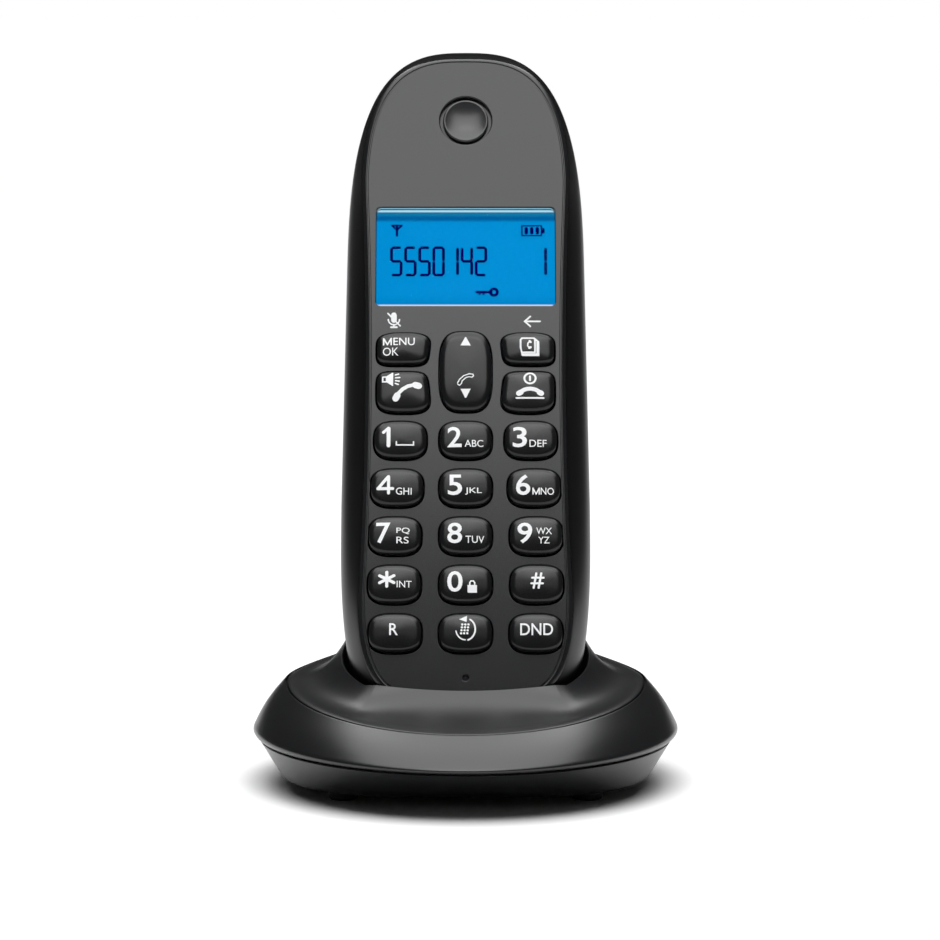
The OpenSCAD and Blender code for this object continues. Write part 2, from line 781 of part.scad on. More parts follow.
// The cup's floor follows the handset's bottom end
function floor_s(p) =
    let (t = min(max(p[1], 0), handset_deep))
    (t < parting ? 4.6 * pow(1 - t / parting, 2) : sole_rise(back_share(t))) - cup_floor_gap;

function to_base(x, t, s) = [
    x, dock_y + t * cos(lean) + s * sin(lean), dock_z - t * sin(lean) + s * cos(lean)];
function both_sides(half) = concat(half,
    [for (i = [len(half) - 2:-1:1]) [-half[i][0], half[i][1], half[i][2]]]);

// A ring of the cup: k = 0 on its floor and 1 at its mouth
function cup_ring(k, grow, drop) =
    let (guide = half_section(20, grow), n = len(guide))
    both_sides([for (i = [0:n - 1])
        let (
            s = floor_s(guide[i]) - drop +
                (mouth_s(guide[i]) - floor_s(guide[i])) * k,
            p = half_section(max(s + 3, 3), grow)[i])
        to_base(p[0], p[1], s)]);

// Width of the flat of the cup's lip
lip_w = 0.5;

// The cover's outer surface: w = 0 at the upper seam and 1 at the cup's mouth
function cover_ring(w, sink) =
    let (
        mouth = cup_ring(1, cup_gap + lip_w, 0),
        n = len(mouth),
        shoulder = 0.5 * (1 - pow(1 - min(1, w / 0.16), 2)) * (1 - w))
    [for (i = [0:n - 1])
        let (
            f = atan2(mouth[i][0] / seam_a, -mouth[i][1] / seam_b),
            a = seam_a - seam_gap,
            b = seam_b - seam_gap,
            edge = [a * sin(f), -b * cos(f), seam_z(-b * cos(f))],
            run = edge + (mouth[i] - edge) * w)
        [run[0], run[1], edge[2] + (mouth[i][2] - edge[2]) * pow(w, cover_sweep) + shoulder - sink]];

// Thickness of the cover's edge, over the skirt's ledge
cover_edge = 0.3;

// The rim that laps inside the skirt
function lap_ring(cut, drop) =
    let (edge = cover_ring(0, drop), k = 1 - cut / seam_a)
    [for (p = edge) [p[0] * k, p[1] * k, p[2]]];

module base_top_cover() {
    color([0.19, 0.2, 0.21]) placed() difference() {
        closed_loft([
            cup_ring(0, cup_gap + base_wall, base_wall), cup_ring(0.12, cup_gap + base_wall, base_wall),
            cup_ring(0.35, cup_gap + base_wall, base_wall),
            cup_ring(0.62, cup_gap + base_wall, base_wall), cover_ring(0.78, base_wall + 0.4),
            cover_ring(0.62, base_wall), cover_ring(0.46, base_wall), cover_ring(0.3, base_wall),
            cover_ring(0.16, base_wall),
            lap_ring(2 * base_wall, lap), lap_ring(base_wall, lap), lap_ring(base_wall, cover_edge),
            cover_ring(0, cover_edge), cover_ring(0, 0), cover_ring(0.07, 0), cover_ring(0.16, 0),
            cover_ring(0.3, 0), cover_ring(0.46, 0), cover_ring(0.62, 0), cover_ring(0.76, 0),
            cover_ring(0.87, 0), cover_ring(0.95, 0), cover_ring(1, 0),
            cup_ring(1, cup_gap + 0.15, 0.15), cup_ring(1, cup_gap, 0.6), cup_ring(0.65, cup_gap, 0),
            cup_ring(0.35, cup_gap, 0), cup_ring(0.12, cup_gap, 0), cup_ring(0, cup_gap, 0)
        ]);
        leaning() for (side = [-1, 1])
            translate([side * pin_x, pin_t, -8]) cylinder(r = pin_r + 0.3, h = 16);
    }
}

// Charging pins: they stand along the handset and spring down when it drops in
pin_top = pad_low - 0.25;
pressed_foot = -4.5;
pin_foot = pressed_foot + pin_travel;
guide_low = -4.1;
guide_deep = 0.65;

module charge_pin(side) {
    color([0.85, 0.78, 0.45]) docked() translate([side * pin_x, pin_t, 0]) {
        translate([0, 0, pin_foot]) cylinder(r = pin_r, h = pin_top - pin_foot - 0.4);
        translate([0, 0, pin_top - 0.4]) cylinder(r1 = pin_r, r2 = pin_r - 0.4, h = 0.4);
    }
}

module charge_pin_left() { charge_pin(-1); }
module charge_pin_right() { charge_pin(1); }

// The guides that the pins run in lie just under the cup's floor
module charge_pin_block() {
    color([0.85, 0.85, 0.8]) docked() for (side = [-1, 1])
        translate([side * pin_x, pin_t, guide_low]) difference() {
            cylinder(r = pin_r + 0.8, h = guide_deep);
            translate([0, 0, -past]) cylinder(r = pin_r + 0.3, h = guide_deep + 2 * past);
        }
}

module base_board() {
    edge_a = 30;
    edge_b = face_b - 9;
    color([0.1, 0.35, 0.2]) placed() difference() {
        translate([0, 0, base_board_z]) linear_extrude(base_board_t)
            polygon([for (i = [-10:10]) [edge_a * sin(7 * i), edge_b * cos(7 * i)]]);
        for (side = [-1, 1])
            translate([side * post_spots[0][0], post_spots[0][1], 0])
                cylinder(r = screw_r + screw_fit, h = 30);
    }
}

// A socket reaches out to the skirt and is trimmed a little inside it
module socket(side) {
    sunk = 0.5;
    color([0.08, 0.08, 0.08]) placed() intersection() {
        closed_loft([
            oval(face_a - sunk, face_b - sunk, lower_seam_z), oval(face_a - sunk, face_b - sunk, widest_z),
            skirt_ring(0, sunk), skirt_ring(0.5, sunk), skirt_ring(1, sunk)
        ]);
        translate([side * socket_x, socket_y, socket_z]) difference() {
            translate([-socket_w / 2, -socket_d, 0]) cube([socket_w, socket_d + 10, socket_h]);
            translate([-mouth_w / 2, -mouth_d, (socket_h - mouth_h) / 2])
                cube([mouth_w, mouth_d + 20, mouth_h]);
            translate([-1.6, -mouth_d, -past]) cube([3.2, mouth_d + 20, 3]);
        }
    }
}

module line_socket() { socket(-1); }
module power_socket() { socket(1); }

wire_r = 0.25;
module socket_wires() {
    rise = socket_z + (socket_h + mouth_h) / 2 - 0.7;
    color([0.85, 0.68, 0.3]) placed() for (side = [-1, 1], i = [-1.5:1:1.5])
        translate([side * socket_x + 1.1 * i, socket_y - 2, rise]) rotate([90, 0, 0])
            cylinder(r = wire_r, h = mouth_d - 2);
}

module page_key() {
    color([0.2, 0.21, 0.22]) placed() page_axis() {
        translate([0, 0, page_foot]) cylinder(r = page_r, h = page_proud - page_foot);
        translate([0, 0, page_foot]) cylinder(r = page_r + page_lip, h = 0.8);
    }
}

handset_front_housing();
handset_rear_housing();
display_window();
lcd_glass();
lcd_backlight();
keypad_mat();
handset_board();
earpiece_disc();
earpiece_speaker();
microphone();
ringer_speaker();
handset_charge_pads();
battery_contacts();
battery_cell_left();
battery_cell_right();
handset_screws();
battery_cover();
key_cap("key_menu");  // key_menu
key_cap("key_phonebook");  // key_phonebook
key_cap("key_talk");  // key_talk
key_cap("key_end");  // key_end
rocker_cap();  // key_rocker
key_cap("key_1");  // key_1
key_cap("key_2");  // key_2
key_cap("key_3");  // key_3
key_cap("key_4");  // key_4
key_cap("key_5");  // key_5
key_cap("key_6");  // key_6
key_cap("key_7");  // key_7
key_cap("key_8");  // key_8
key_cap("key_9");  // key_9
key_cap("key_star");  // key_star
key_cap("key_0");  // key_0
key_cap("key_hash");  // key_hash
key_cap("key_recall");  // key_recall
key_cap("key_redial");  // key_redial
key_cap("key_silent");  // key_silent
base_top_cover();
base_skirt();
base_bottom();
base_board();
charge_pin_left();
charge_pin_right();
charge_pin_block();
line_socket();
power_socket();
socket_wires();
page_key();
rubber_feet();
base_screws();
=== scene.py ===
import json
import math

import bmesh
import bpy
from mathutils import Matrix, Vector


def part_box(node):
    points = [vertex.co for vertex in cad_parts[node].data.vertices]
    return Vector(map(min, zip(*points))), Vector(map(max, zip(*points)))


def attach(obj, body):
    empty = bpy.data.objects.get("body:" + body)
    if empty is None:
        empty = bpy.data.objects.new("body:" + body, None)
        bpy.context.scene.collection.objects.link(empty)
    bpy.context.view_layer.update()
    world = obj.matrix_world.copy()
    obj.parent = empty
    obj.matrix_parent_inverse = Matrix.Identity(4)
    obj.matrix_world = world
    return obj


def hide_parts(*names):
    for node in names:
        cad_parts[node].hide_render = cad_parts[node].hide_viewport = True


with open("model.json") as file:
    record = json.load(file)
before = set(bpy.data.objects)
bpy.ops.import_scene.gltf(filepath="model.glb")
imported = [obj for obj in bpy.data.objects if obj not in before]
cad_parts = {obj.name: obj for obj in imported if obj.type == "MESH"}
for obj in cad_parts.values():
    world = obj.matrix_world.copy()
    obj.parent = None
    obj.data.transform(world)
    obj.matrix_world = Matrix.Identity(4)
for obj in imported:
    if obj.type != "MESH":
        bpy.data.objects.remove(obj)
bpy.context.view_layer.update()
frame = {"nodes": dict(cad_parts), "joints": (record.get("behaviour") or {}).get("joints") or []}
mm = 0.001


def jointAxis(name):
    joint = next(j for j in frame["joints"] if j["name"] == name)
    return Vector(joint["axis"]).normalized()


along = jointAxis("handset_lift")  # from the handset's bottom end to its crown
inward = jointAxis("battery_cover_off")  # from its face to its back


# Finishes

def newFinish(name):
    finish = bpy.data.materials.new(name)
    finish.use_nodes = True
    tree = finish.node_tree
    return finish, tree.nodes, tree.links, tree.nodes["Principled BSDF"]


def spotNoise(nodes, links, place, size, detail=2.0):
    noise = nodes.new("ShaderNodeTexNoise")
    noise.inputs["Scale"].default_value = 1 / (size * mm)
    noise.inputs["Detail"].default_value = detail
    links.new(place.outputs["Object"], noise.inputs["Vector"])
    return noise


# What a finish has unless its own look says otherwise; lengths in mm
plainLook = {"drift": 0.06, "driftSize": 18, "grainSize": 0.25, "grainDetail": 3.0, "grainStrength": 0.05,
             "grainDepth": 0.02, "shineSpread": 0.025, "shine": 0.5, "metal": 0.0}


# Moulded plastic or metal: a fine grain, a slow drift of tone and an uneven shine
def mouldedPlastic(name, look):
    look = {**plainLook, **look}
    finish, nodes, links, shader = newFinish(name)
    place = nodes.new("ShaderNodeTexCoord")
    drift = spotNoise(nodes, links, place, look["driftSize"])
    tone = nodes.new("ShaderNodeValToRGB")
    for end, position, side in zip(tone.color_ramp.elements, (0.3, 0.7), (-1, 1)):
        end.position = position
        end.color = [c * (1 + side * look["drift"]) for c in look["color"]] + [1]
    links.new(drift.outputs["Fac"], tone.inputs["Fac"])
    links.new(tone.outputs["Color"], shader.inputs["Base Color"])
    grain = spotNoise(nodes, links, place, look["grainSize"], look["grainDetail"])
    polish = nodes.new("ShaderNodeMapRange")
    polish.inputs["To Min"].default_value = look["roughness"] - look["shineSpread"]
    polish.inputs["To Max"].default_value = look["roughness"] + look["shineSpread"]
    links.new(grain.outputs["Fac"], polish.inputs["Value"])
    links.new(polish.outputs["Result"], shader.inputs["Roughness"])
    bump = nodes.new("ShaderNodeBump")
    bump.inputs["Strength"].default_value = look["grainStrength"]
    bump.inputs["Distance"].default_value = look["grainDepth"] * mm
    links.new(grain.outputs["Fac"], bump.inputs["Height"])
    links.new(bump.outputs["Normal"], shader.inputs["Normal"])
    shader.inputs["Specular IOR Level"].default_value = look["shine"]
    shader.inputs["Metallic"].default_value = look["metal"]
    return finish


finishLooks = {
    "handset_face_plastic": {"color": (0.010, 0.0104, 0.0112), "roughness": 0.23, "shine": 0.5},
    "handset_back_plastic": {"color": (0.0055, 0.0055, 0.0057), "roughness": 0.3, "shine": 0.12},
    "key_plastic": {"color": (0.007, 0.0072, 0.0077), "roughness": 0.24, "shine": 0.36},
    "base_top_plastic": {"color": (0.010, 0.0104, 0.0112), "roughness": 0.34, "shine": 0.5},
    "base_skirt_plastic": {"color": (0.008, 0.0083, 0.009), "roughness": 0.29, "shine": 0.55},
    "base_bottom_plastic": {"color": (0.009, 0.0093, 0.010), "roughness": 0.3, "shine": 0.5},
    "disc_plastic": {"color": (0.02, 0.0205, 0.022), "roughness": 0.25, "shine": 0.6},
    "white_plastic": {"color": (0.82, 0.83, 0.85), "roughness": 0.5, "drift": 0.02},
    "silicone": {"color": (0.2, 0.2, 0.21), "roughness": 0.7, "grainSize": 0.5},
    "speaker_metal": {"color": (0.5, 0.5, 0.52), "roughness": 0.35, "metal": 1.0},
    "contact_metal": {"color": (0.72, 0.7, 0.64), "roughness": 0.28, "metal": 1.0, "grainSize": 0.15},
    "gold_contact": {"color": (0.83, 0.6, 0.22), "roughness": 0.25, "metal": 1.0, "grainSize": 0.15},
    "screw_steel": {"color": (0.55, 0.55, 0.56), "roughness": 0.32, "metal": 1.0, "grainSize": 0.2},
    "pin_block_plastic": {"color": (0.5, 0.5, 0.46), "roughness": 0.55},
    "socket_plastic": {"color": (0.012, 0.012, 0.012), "roughness": 0.5},
    "foot_rubber": {"color": (0.014, 0.014, 0.014), "roughness": 0.8, "grainStrength": 0.3, "shine": 0.3},
    "print_white": {"color": (0.86, 0.87, 0.88), "roughness": 0.55, "drift": 0.02, "shine": 0.3},
    "segment_ink": {"color": (0.002, 0.002, 0.16), "roughness": 0.6, "shine": 0.0},
}
finishes = {name: mouldedPlastic(name, look) for name, look in finishLooks.items()}


boardLook = {"trackPitch": 2.6, "track": (0.05, 0.2, 0.07), "mask": (0.012, 0.08, 0.03), "roughness": 0.35}


# Circuit boards: solder mask with lighter tracks showing through it
def solderMask(name):
    finish, nodes, links, shader = newFinish(name)
    place = nodes.new("ShaderNodeTexCoord")
    tracks = nodes.new("ShaderNodeTexVoronoi")
    tracks.feature = "DISTANCE_TO_EDGE"
    tracks.inputs["Scale"].default_value = 1 / (boardLook["trackPitch"] * mm)
    links.new(place.outputs["Object"], tracks.inputs["Vector"])
    tone = nodes.new("ShaderNodeValToRGB")
    for end, position, part in zip(tone.color_ramp.elements, (0.04, 0.07), ("track", "mask")):
        end.position = position
        end.color = (*boardLook[part], 1)
    links.new(tracks.outputs["Distance"], tone.inputs["Fac"])
    links.new(tone.outputs["Color"], shader.inputs["Base Color"])
    shader.inputs["Roughness"].default_value = boardLook["roughness"]
    return finish


# How far a point lies along the handset, as 0 at low and 1 at high, both in mm from its bottom end
def heightShare(nodes, links, low, high):
    place = nodes.new("ShaderNodeTexCoord")
    reach = nodes.new("ShaderNodeVectorMath")
    reach.operation = "DOT_PRODUCT"
    reach.inputs[1].default_value = along
    links.new(place.outputs["Object"], reach.inputs[0])
    share = nodes.new("ShaderNodeMapRange")
    start = handsetOrigin.dot(along)
    share.inputs["From Min"].default_value = start + low * mm
    share.inputs["From Max"].default_value = start + high * mm
    links.new(reach.outputs["Value"], share.inputs["Value"])
    return share


def bands(nodes, links, share, stops):
    ramp = nodes.new("ShaderNodeValToRGB")
    elements = ramp.color_ramp.elements
    elements[0].position, elements[0].color = stops[0][0], (*stops[0][1], 1)
    elements[1].position, elements[1].color = stops[-1][0], (*stops[-1][1], 1)
    for position, color in stops[1:-1]:
        elements.new(position).color = (*color, 1)
    links.new(share.outputs["Result"], ramp.inputs["Fac"])
    return ramp


# The handset's own frame

displayWindow = {"width": 37.0, "height": 21.8, "centre": 101.4, "corner": 1.0, "thickness": 1.2}


# The window's box gives the point where the face's plane meets the handset's bottom end
def findHandsetOrigin():
    low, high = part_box("display_window")
    bottom = (displayWindow["centre"] - displayWindow["height"] / 2) * mm
    top = (displayWindow["centre"] + displayWindow["height"] / 2) * mm
    return Vector((0, low.y - bottom * along.y, high.z - top * along.z))


handsetOrigin = findHandsetOrigin()


# A point of the handset from its place across, its depth behind the face and its height
def onHandset(across, depth, height):
    return handsetOrigin + Vector((across * mm, 0, 0)) + inward * depth * mm + along * height * mm


handset = {
    "length": 151.3, "halfWidth": 25.6, "taper": 0.014, "taperFrom": 50, "depth": 25.0,
    "parting": 10.5, "crown": 50, "sole": 45,
    "faceTop": 146.5, "faceLow": 5.0, "faceWaist": 20.6, "faceFlare": 1.15, "waist": 73,
    "waistReach": 46, "faceCrown": 34, "faceSole": 22, "edgeDepth": 0.6,
    "backNarrowing": 0.42, "crownDrop": 16, "soleRise": 6, "steps": 90,
}


def roundedEnd(share, power, root):
    share = min(max(share, 0), 1)
    return (1 - (1 - share) ** power) ** root


def bodyHalf(s):
    h = handset
    straight = h["halfWidth"] - h["taper"] * max(0, s - h["taperFrom"])
    return (straight * roundedEnd((h["length"] - s) / h["crown"], 2.9, 0.357)
            * roundedEnd(s / h["sole"], 2.6, 0.22))


def faceHalf(s):
    h = handset
    flare = min(1, ((s - h["waist"]) / h["waistReach"]) ** 2)
    return ((h["faceWaist"] + h["faceFlare"] * flare)
            * roundedEnd((h["faceTop"] - s) / h["faceCrown"], 2.9, 0.357)
            * roundedEnd((s - h["faceLow"]) / h["faceSole"], 2.4, 0.22))


def spreadPoint(i, low, high):
    return low + (high - low) * (1 + math.cos(math.pi * i / handset["steps"])) / 2


# One side of the body's or the face's outline, from crown to bottom end, drawn in by cut
def bodySide(cut):
    top = handset["length"]
    return [(bodyHalf(spreadPoint(i, 0, top)) * (1 - cut / handset["halfWidth"]),
             spreadPoint(i, cut, top - cut)) for i in range(handset["steps"] + 1)]


def faceSide(cut):
    low, top = handset["faceLow"], handset["faceTop"]
    return [(faceHalf(spreadPoint(i, low, top)) * (1 - cut / handset["faceWaist"]),
             spreadPoint(i, low + cut, top - cut)) for i in range(handset["steps"] + 1)]


# Both sides as a ring of points at one depth
def handsetRing(side, depth):
    mirrored = [(-x, s) for x, s in side[-2:0:-1]]
    return [onHandset(x, depth, s) for x, s in side + mirrored]


def wallSpread(depth):
    h = handset
    if depth <= h["edgeDepth"]:
        return 0
    return math.sin(math.pi / 2 * (depth - h["edgeDepth"]) / (h["parting"] - h["edgeDepth"])) ** 0.9


def wallRing(depth, cut=0):
    k = wallSpread(depth)
    mixed = [(a[0] + (b[0] - a[0]) * k, a[1] + (b[1] - a[1]) * k)
             for a, b in zip(faceSide(cut), bodySide(cut))]
    return handsetRing(mixed, depth)


def backShare(depth):
    return (depth - handset["parting"]) / (handset["depth"] - handset["parting"])


def backRing(depth, cut=0):
    h, u = handset, backShare(depth)
    low, top = cut + h["soleRise"] * u ** 3, h["length"] - cut - h["crownDrop"] * u ** 2.2
    side = [(bodyHalf(spreadPoint(i, 0, h["length"])) * (1 - h["backNarrowing"] * u ** 3)
             * (1 - cut / h["halfWidth"]), spreadPoint(i, low, top)) for i in range(h["steps"] + 1)]
    return handsetRing(side, depth)


# Building a mesh from rings of points

def loft(mesh, rings, hoop=False):
    rows = [[mesh.verts.new(p) for p in ring] for ring in rings]
    for near, far in list(zip(rows, rows[1:])) + ([(rows[-1], rows[0])] if hoop else []):
        for i in range(len(near)):
            j = (i + 1) % len(near)
            mesh.faces.new((near[i], near[j], far[j], far[i]))
    return rows


# Strips from side to side close a ring that is symmetrical about its first point
def capStrips(mesh, row):
    n = len(row)
    for i in range(n // 2):
        corners = [row[i], row[i + 1], row[(n - i - 1) % n], row[(n - i) % n]]
        mesh.faces.new(list(dict.fromkeys(corners)))


# A loft with both ends closed: by one face each, or by strips where an end isn't flat
def closedLoft(mesh, rings, strips=False):
    rows = loft(mesh, rings)
    for row in (rows[0], rows[-1]):
        if strips:
            capStrips(mesh, row)
        else:
            mesh.faces.new(row)


def asObject(mesh, name, finish, sharp=35):
    bmesh.ops.recalc_face_normals(mesh, faces=mesh.faces)
    data = bpy.data.meshes.new(name)
    mesh.to_mesh(data)
    mesh.free()
    data.shade_smooth()
    data.set_sharp_from_angle(angle=math.radians(sharp))
    obj = bpy.data.objects.new(name, data)
    bpy.context.scene.collection.objects.link(obj)
    if finish:
        data.materials.append(finish)
    return obj


def standFor(obj, body, slot, *nodes):
    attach(obj, body)
    if nodes:
        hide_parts(*nodes)


# Takes the cutters' shape out of obj
def carve(obj, cutters, sharp=35):
    for cutter in cutters:
        cut = obj.modifiers.new("cut", "BOOLEAN")
        cut.operation = "DIFFERENCE"
        cut.solver = "EXACT"
        cut.object = cutter
    view = bpy.context.evaluated_depsgraph_get()
    obj.data = bpy.data.meshes.new_from_object(obj.evaluated_get(view))
    obj.modifiers.clear()
    obj.data.set_sharp_from_angle(angle=math.radians(sharp))
    for cutter in cutters:
        bpy.data.objects.remove(cutter)


# A round piece from (radius, distance) pairs along an axis
def turned(name, finish, profile, centre, axis, around=48):
    mesh = bmesh.new()
    side = axis.orthogonal().normalized()
    other = axis.cross(side).normalized()
    turns = [2 * math.pi * i / around for i in range(around)]
    closedLoft(mesh, [[centre + (side * math.cos(a) + other * math.sin(a)) * r * mm + axis * d * mm
                       for a in turns] for r, d in profile])
    return asObject(mesh, name, finish)


# A block between two corners, in the coordinates that place takes: onHandset's or onBase's
def block(place, low, high):
    mesh = bmesh.new()
    corners = [mesh.verts.new(place(a, b, c)) for a in (low[0], high[0])
               for b in (low[1], high[1]) for c in (low[2], high[2])]
    for face in ((0, 1, 3, 2), (4, 6, 7, 5), (0, 4, 5, 1), (2, 3, 7, 6), (0, 2, 6, 4), (1, 5, 7, 3)):
        mesh.faces.new([corners[i] for i in face])
    return asObject(mesh, "cutter", None)


def roundedRect(width, height, corner, steps=8):
    points = []
    for quarter, (sx, sy) in enumerate(((1, 1), (-1, 1), (-1, -1), (1, -1))):
        cx, cy = sx * (width / 2 - corner), sy * (height / 2 - corner)
        for i in range(steps + 1):
            a = math.pi / 2 * (quarter + i / steps)
            points.append((cx + corner * math.cos(a), cy + corner * math.sin(a)))
    return points


# Keys

keyShape = {
    "width": 10.6, "height": 8.0, "square": 2.9, "proud": 1.75, "crown": 0.42, "edgeDrop": 0.62,
    "edgeBand": 0.2, "foot": 2.0, "gap": 0.3, "holeRound": 0.12, "points": 72,
}
keyPlaces = {"rowTop": 60.8, "rowPitch": 10.3, "column": 14.4, "columnBow": 0.0013, "bowCentre": 32,
             "sideColumn": 12.9}


def plainKey(name, column, row):
    s = keyPlaces["rowTop"] - row * keyPlaces["rowPitch"]
    x = column * (keyPlaces["column"] - keyPlaces["columnBow"] * (s - keyPlaces["bowCentre"]) ** 2)
    return {"name": name, "x": x, "s": s, "width": keyShape["width"], "height": keyShape["height"],
            "square": keyShape["square"], "topArch": 0, "lowArch": 0, "slant": 0, "mirror": 1}


def sideKey(name, side, s, height, square, topArch, lowArch, slant):
    return {"name": name, "x": side * keyPlaces["sideColumn"], "s": s, "width": keyShape["width"],
            "height": height, "square": square, "topArch": topArch, "lowArch": lowArch,
            "slant": slant, "mirror": -side}


keys = [
    sideKey("key_menu", -1, 80.4, 6.3, 4.2, 0.6, 0, 0.4),
    sideKey("key_phonebook", 1, 80.4, 6.3, 4.2, 0.6, 0, 0.4),
    sideKey("key_talk", -1, 71.5, 8.3, 4.4, 0, 0.6, -0.4),
    sideKey("key_end", 1, 71.5, 8.3, 4.4, 0, 0.6, -0.4),
    {"name": "key_rocker", "x": 0, "s": 75.75, "width": 10.5, "height": 17.3, "square": 3.2,
     "topArch": 0, "lowArch": 0, "slant": 0, "mirror": 1},
]
dialNames = [["1", "2", "3"], ["4", "5", "6"], ["7", "8", "9"], ["star", "0", "hash"],
             ["recall", "redial", "silent"]]
for rowIndex, rowNames in enumerate(dialNames):
    for columnIndex, keyName in enumerate(rowNames):
        keys.append(plainKey("key_" + keyName, columnIndex - 1, rowIndex))
keyCalled = {key["name"]: key for key in keys}


# A key's outline grown by grow and then shrunk to share of its size, as (across, height) points
def keyOutline(key, grow=0.0, share=1.0):
    points = []
    for i in range(keyShape["points"]):
        a = 2 * math.pi * (i + 0.5) / keyShape["points"]
        c, d = math.cos(a), math.sin(a)
        u = math.copysign(abs(c) ** (2 / key["square"]), c)
        v = math.copysign(abs(d) ** (2 / key["square"]), d)
        arch = (key["topArch"] if v > 0 else key["lowArch"]) * v * (1 - u * u)
        across = u * (key["width"] / 2 + grow) + key["slant"] * v * (1 + u) / 2
        points.append((key["x"] + across * key["mirror"] * share,
                       key["s"] + (v * (key["height"] / 2 + grow) + arch) * share))
    return points


# How far the key's top stands out of the face: share is 0 at its middle and 1 at its edge
def keyTop(share):
    band = max(0, (share - 1 + keyShape["edgeBand"]) / keyShape["edgeBand"])
    drop = keyShape["edgeDrop"] * (1 - math.sqrt(max(0, 1 - band * band)))
    return keyShape["proud"] - keyShape["crown"] * share ** 2 - drop


# Where a point lies between the key's middle, 0, and its outline, 1
def keyShareAt(key, across, up):
    outline = [(x - key["x"], s - key["s"]) for x, s in keyOutline(key)]
    for (ax, ay), (bx, by) in zip(outline, outline[1:] + outline[:1]):
        turn = ax * by - bx * ay
        if (ax * up - across * ay) * turn >= 0 and (across * by - bx * up) * turn >= 0:
            return (across * (by - ay) - up * (bx - ax)) / turn
    return 0.0


def buildKey(key):
    shares = (1, 0.997, 0.985, 0.965, 0.94, 0.91, 0.87, 0.83, 0.79, 0.72, 0.63, 0.52, 0.4, 0.27, 0.13,
              0.03)
    rings = [[onHandset(x, depth, s) for x, s in keyOutline(key)]
             for depth in (keyShape["foot"], 0.0, -keyTop(1) * 0.6)]
    rings += [[onHandset(x, -keyTop(share), s) for x, s in keyOutline(key, share=share)]
              for share in shares]
    mesh = bmesh.new()
    closedLoft(mesh, rings)
    cap = asObject(mesh, key["name"] + "_cap", finishes["key_plastic"], 50)
    standFor(cap, key["name"], "key_plastic", key["name"])


for key in keys:
    buildKey(key)
print("keys built:", len(keys))


# The face plate, with its groove and the rolled edge round it

faceEdge = [(1.36, 0.0), (1.3, 0.0), (1.25, 0.04), (1.2, 0.24), (1.02, 0.24), (0.97, 0.07), (0.92, 0.03),
            (0.8, 0.04), (0.62, 0.11), (0.44, 0.21), (0.27, 0.34), (0.12, 0.48), (0.03, 0.58),
            (0.0, 0.66)]  # how far in from the face's edge, and how deep
faceHoles = {"wall": 1.8, "discCentre": 132.0, "discRadius": 4.75, "discGap": 0.65, "recess": 1.1,
             "mouthpiece": 10.45, "mouthpieceRadius": 0.7}


def circlePoints(x, s, radius, steps=64):
    return [(x + radius * math.cos(2 * math.pi * i / steps), s + radius * math.sin(2 * math.pi * i / steps))
            for i in range(steps)]


# A hole from its outline as a function of how much it is grown, rounded where it meets the face
def holeRings(outline, rounding, depth):
    rings = [[onHandset(x, 0, s) for x, s in outline(rounding + 0.06)]]
    for a in (0, 30, 60, 90):
        grow = rounding * (1 - math.sin(math.radians(a)))
        sink = rounding * (1 - math.cos(math.radians(a)))
        rings.append([onHandset(x, sink, s) for x, s in outline(grow)])
    rings.append([onHandset(x, depth, s) for x, s in outline(0)])
    return rings


def buildFacePlate():
    mesh = bmesh.new()
    rims = [loft(mesh, [handsetRing(faceSide(cut), depth) for cut, depth in faceEdge])[0]]
    hole = faceHoles
    for key in keys:
        rings = holeRings(lambda grow, key=key: keyOutline(key, keyShape["gap"] + grow),
                          keyShape["holeRound"], hole["wall"])
        rims.append(loft(mesh, rings)[0])
    window = displayWindow
    rings = holeRings(
        lambda grow: [(x, s + window["centre"]) for x, s in
                      roundedRect(window["width"] + 0.2 + 2 * grow, window["height"] + 0.2 + 2 * grow,
                                  window["corner"] + grow)], 0.1, hole["wall"])
    rims.append(loft(mesh, rings)[0])
    rings = holeRings(lambda grow: circlePoints(0, hole["discCentre"],
                                                hole["discRadius"] + hole["discGap"] + grow),
                      0.25, hole["recess"])
    rows = loft(mesh, rings)
    rims.append(rows[0])
    mesh.faces.new(rows[-1])
    rings = holeRings(lambda grow: circlePoints(0, hole["mouthpiece"], hole["mouthpieceRadius"] + grow, 32),
                      0.1, hole["wall"])
    rims.append(loft(mesh, rings)[0])
    edges = [mesh.edges.get((row[i], row[(i + 1) % len(row)])) for row in rims for i in range(len(row))]
    bmesh.ops.triangle_fill(mesh, use_beauty=True, edges=edges, normal=-inward)
    plate = asObject(mesh, "face_plate", finishes["handset_face_plastic"], 60)
    standFor(plate, "handset", "handset_face_plastic", "handset_front_housing")


buildFacePlate()

sideWallDepths = (0.66, 0.8, 1.0, 1.3, 1.7, 2.2, 2.8, 3.5, 4.3, 5.2, 6.2, 7.3, 8.4, 9.4, 10.1, 10.32)
partingGroove = {"width": 0.16, "depth": 0.3, "wall": 1.8}


def buildSideWall():
    mesh = bmesh.new()
    rings = [wallRing(depth) for depth in sideWallDepths]
    edge = handset["parting"] - partingGroove["width"] / 2
    rings += [wallRing(edge, 0.05), wallRing(edge, partingGroove["depth"]),
              wallRing(handset["parting"], partingGroove["depth"]),
              wallRing(handset["parting"], partingGroove["wall"]),
              wallRing(5.0, partingGroove["wall"]), wallRing(2.6, partingGroove["wall"])]
    loft(mesh, rings)
    wall = asObject(mesh, "side_wall", finishes["handset_back_plastic"])
    standFor(wall, "handset", "handset_back_plastic", "handset_front_housing")


buildSideWall()
print("front of the handset built")


# Earpiece disc: a shallow dish with a rolled rim, in its recess

earpiece = {"thickness": 0.95, "rim": 0.55, "rimDepth": 0.12, "dish": 0.62}


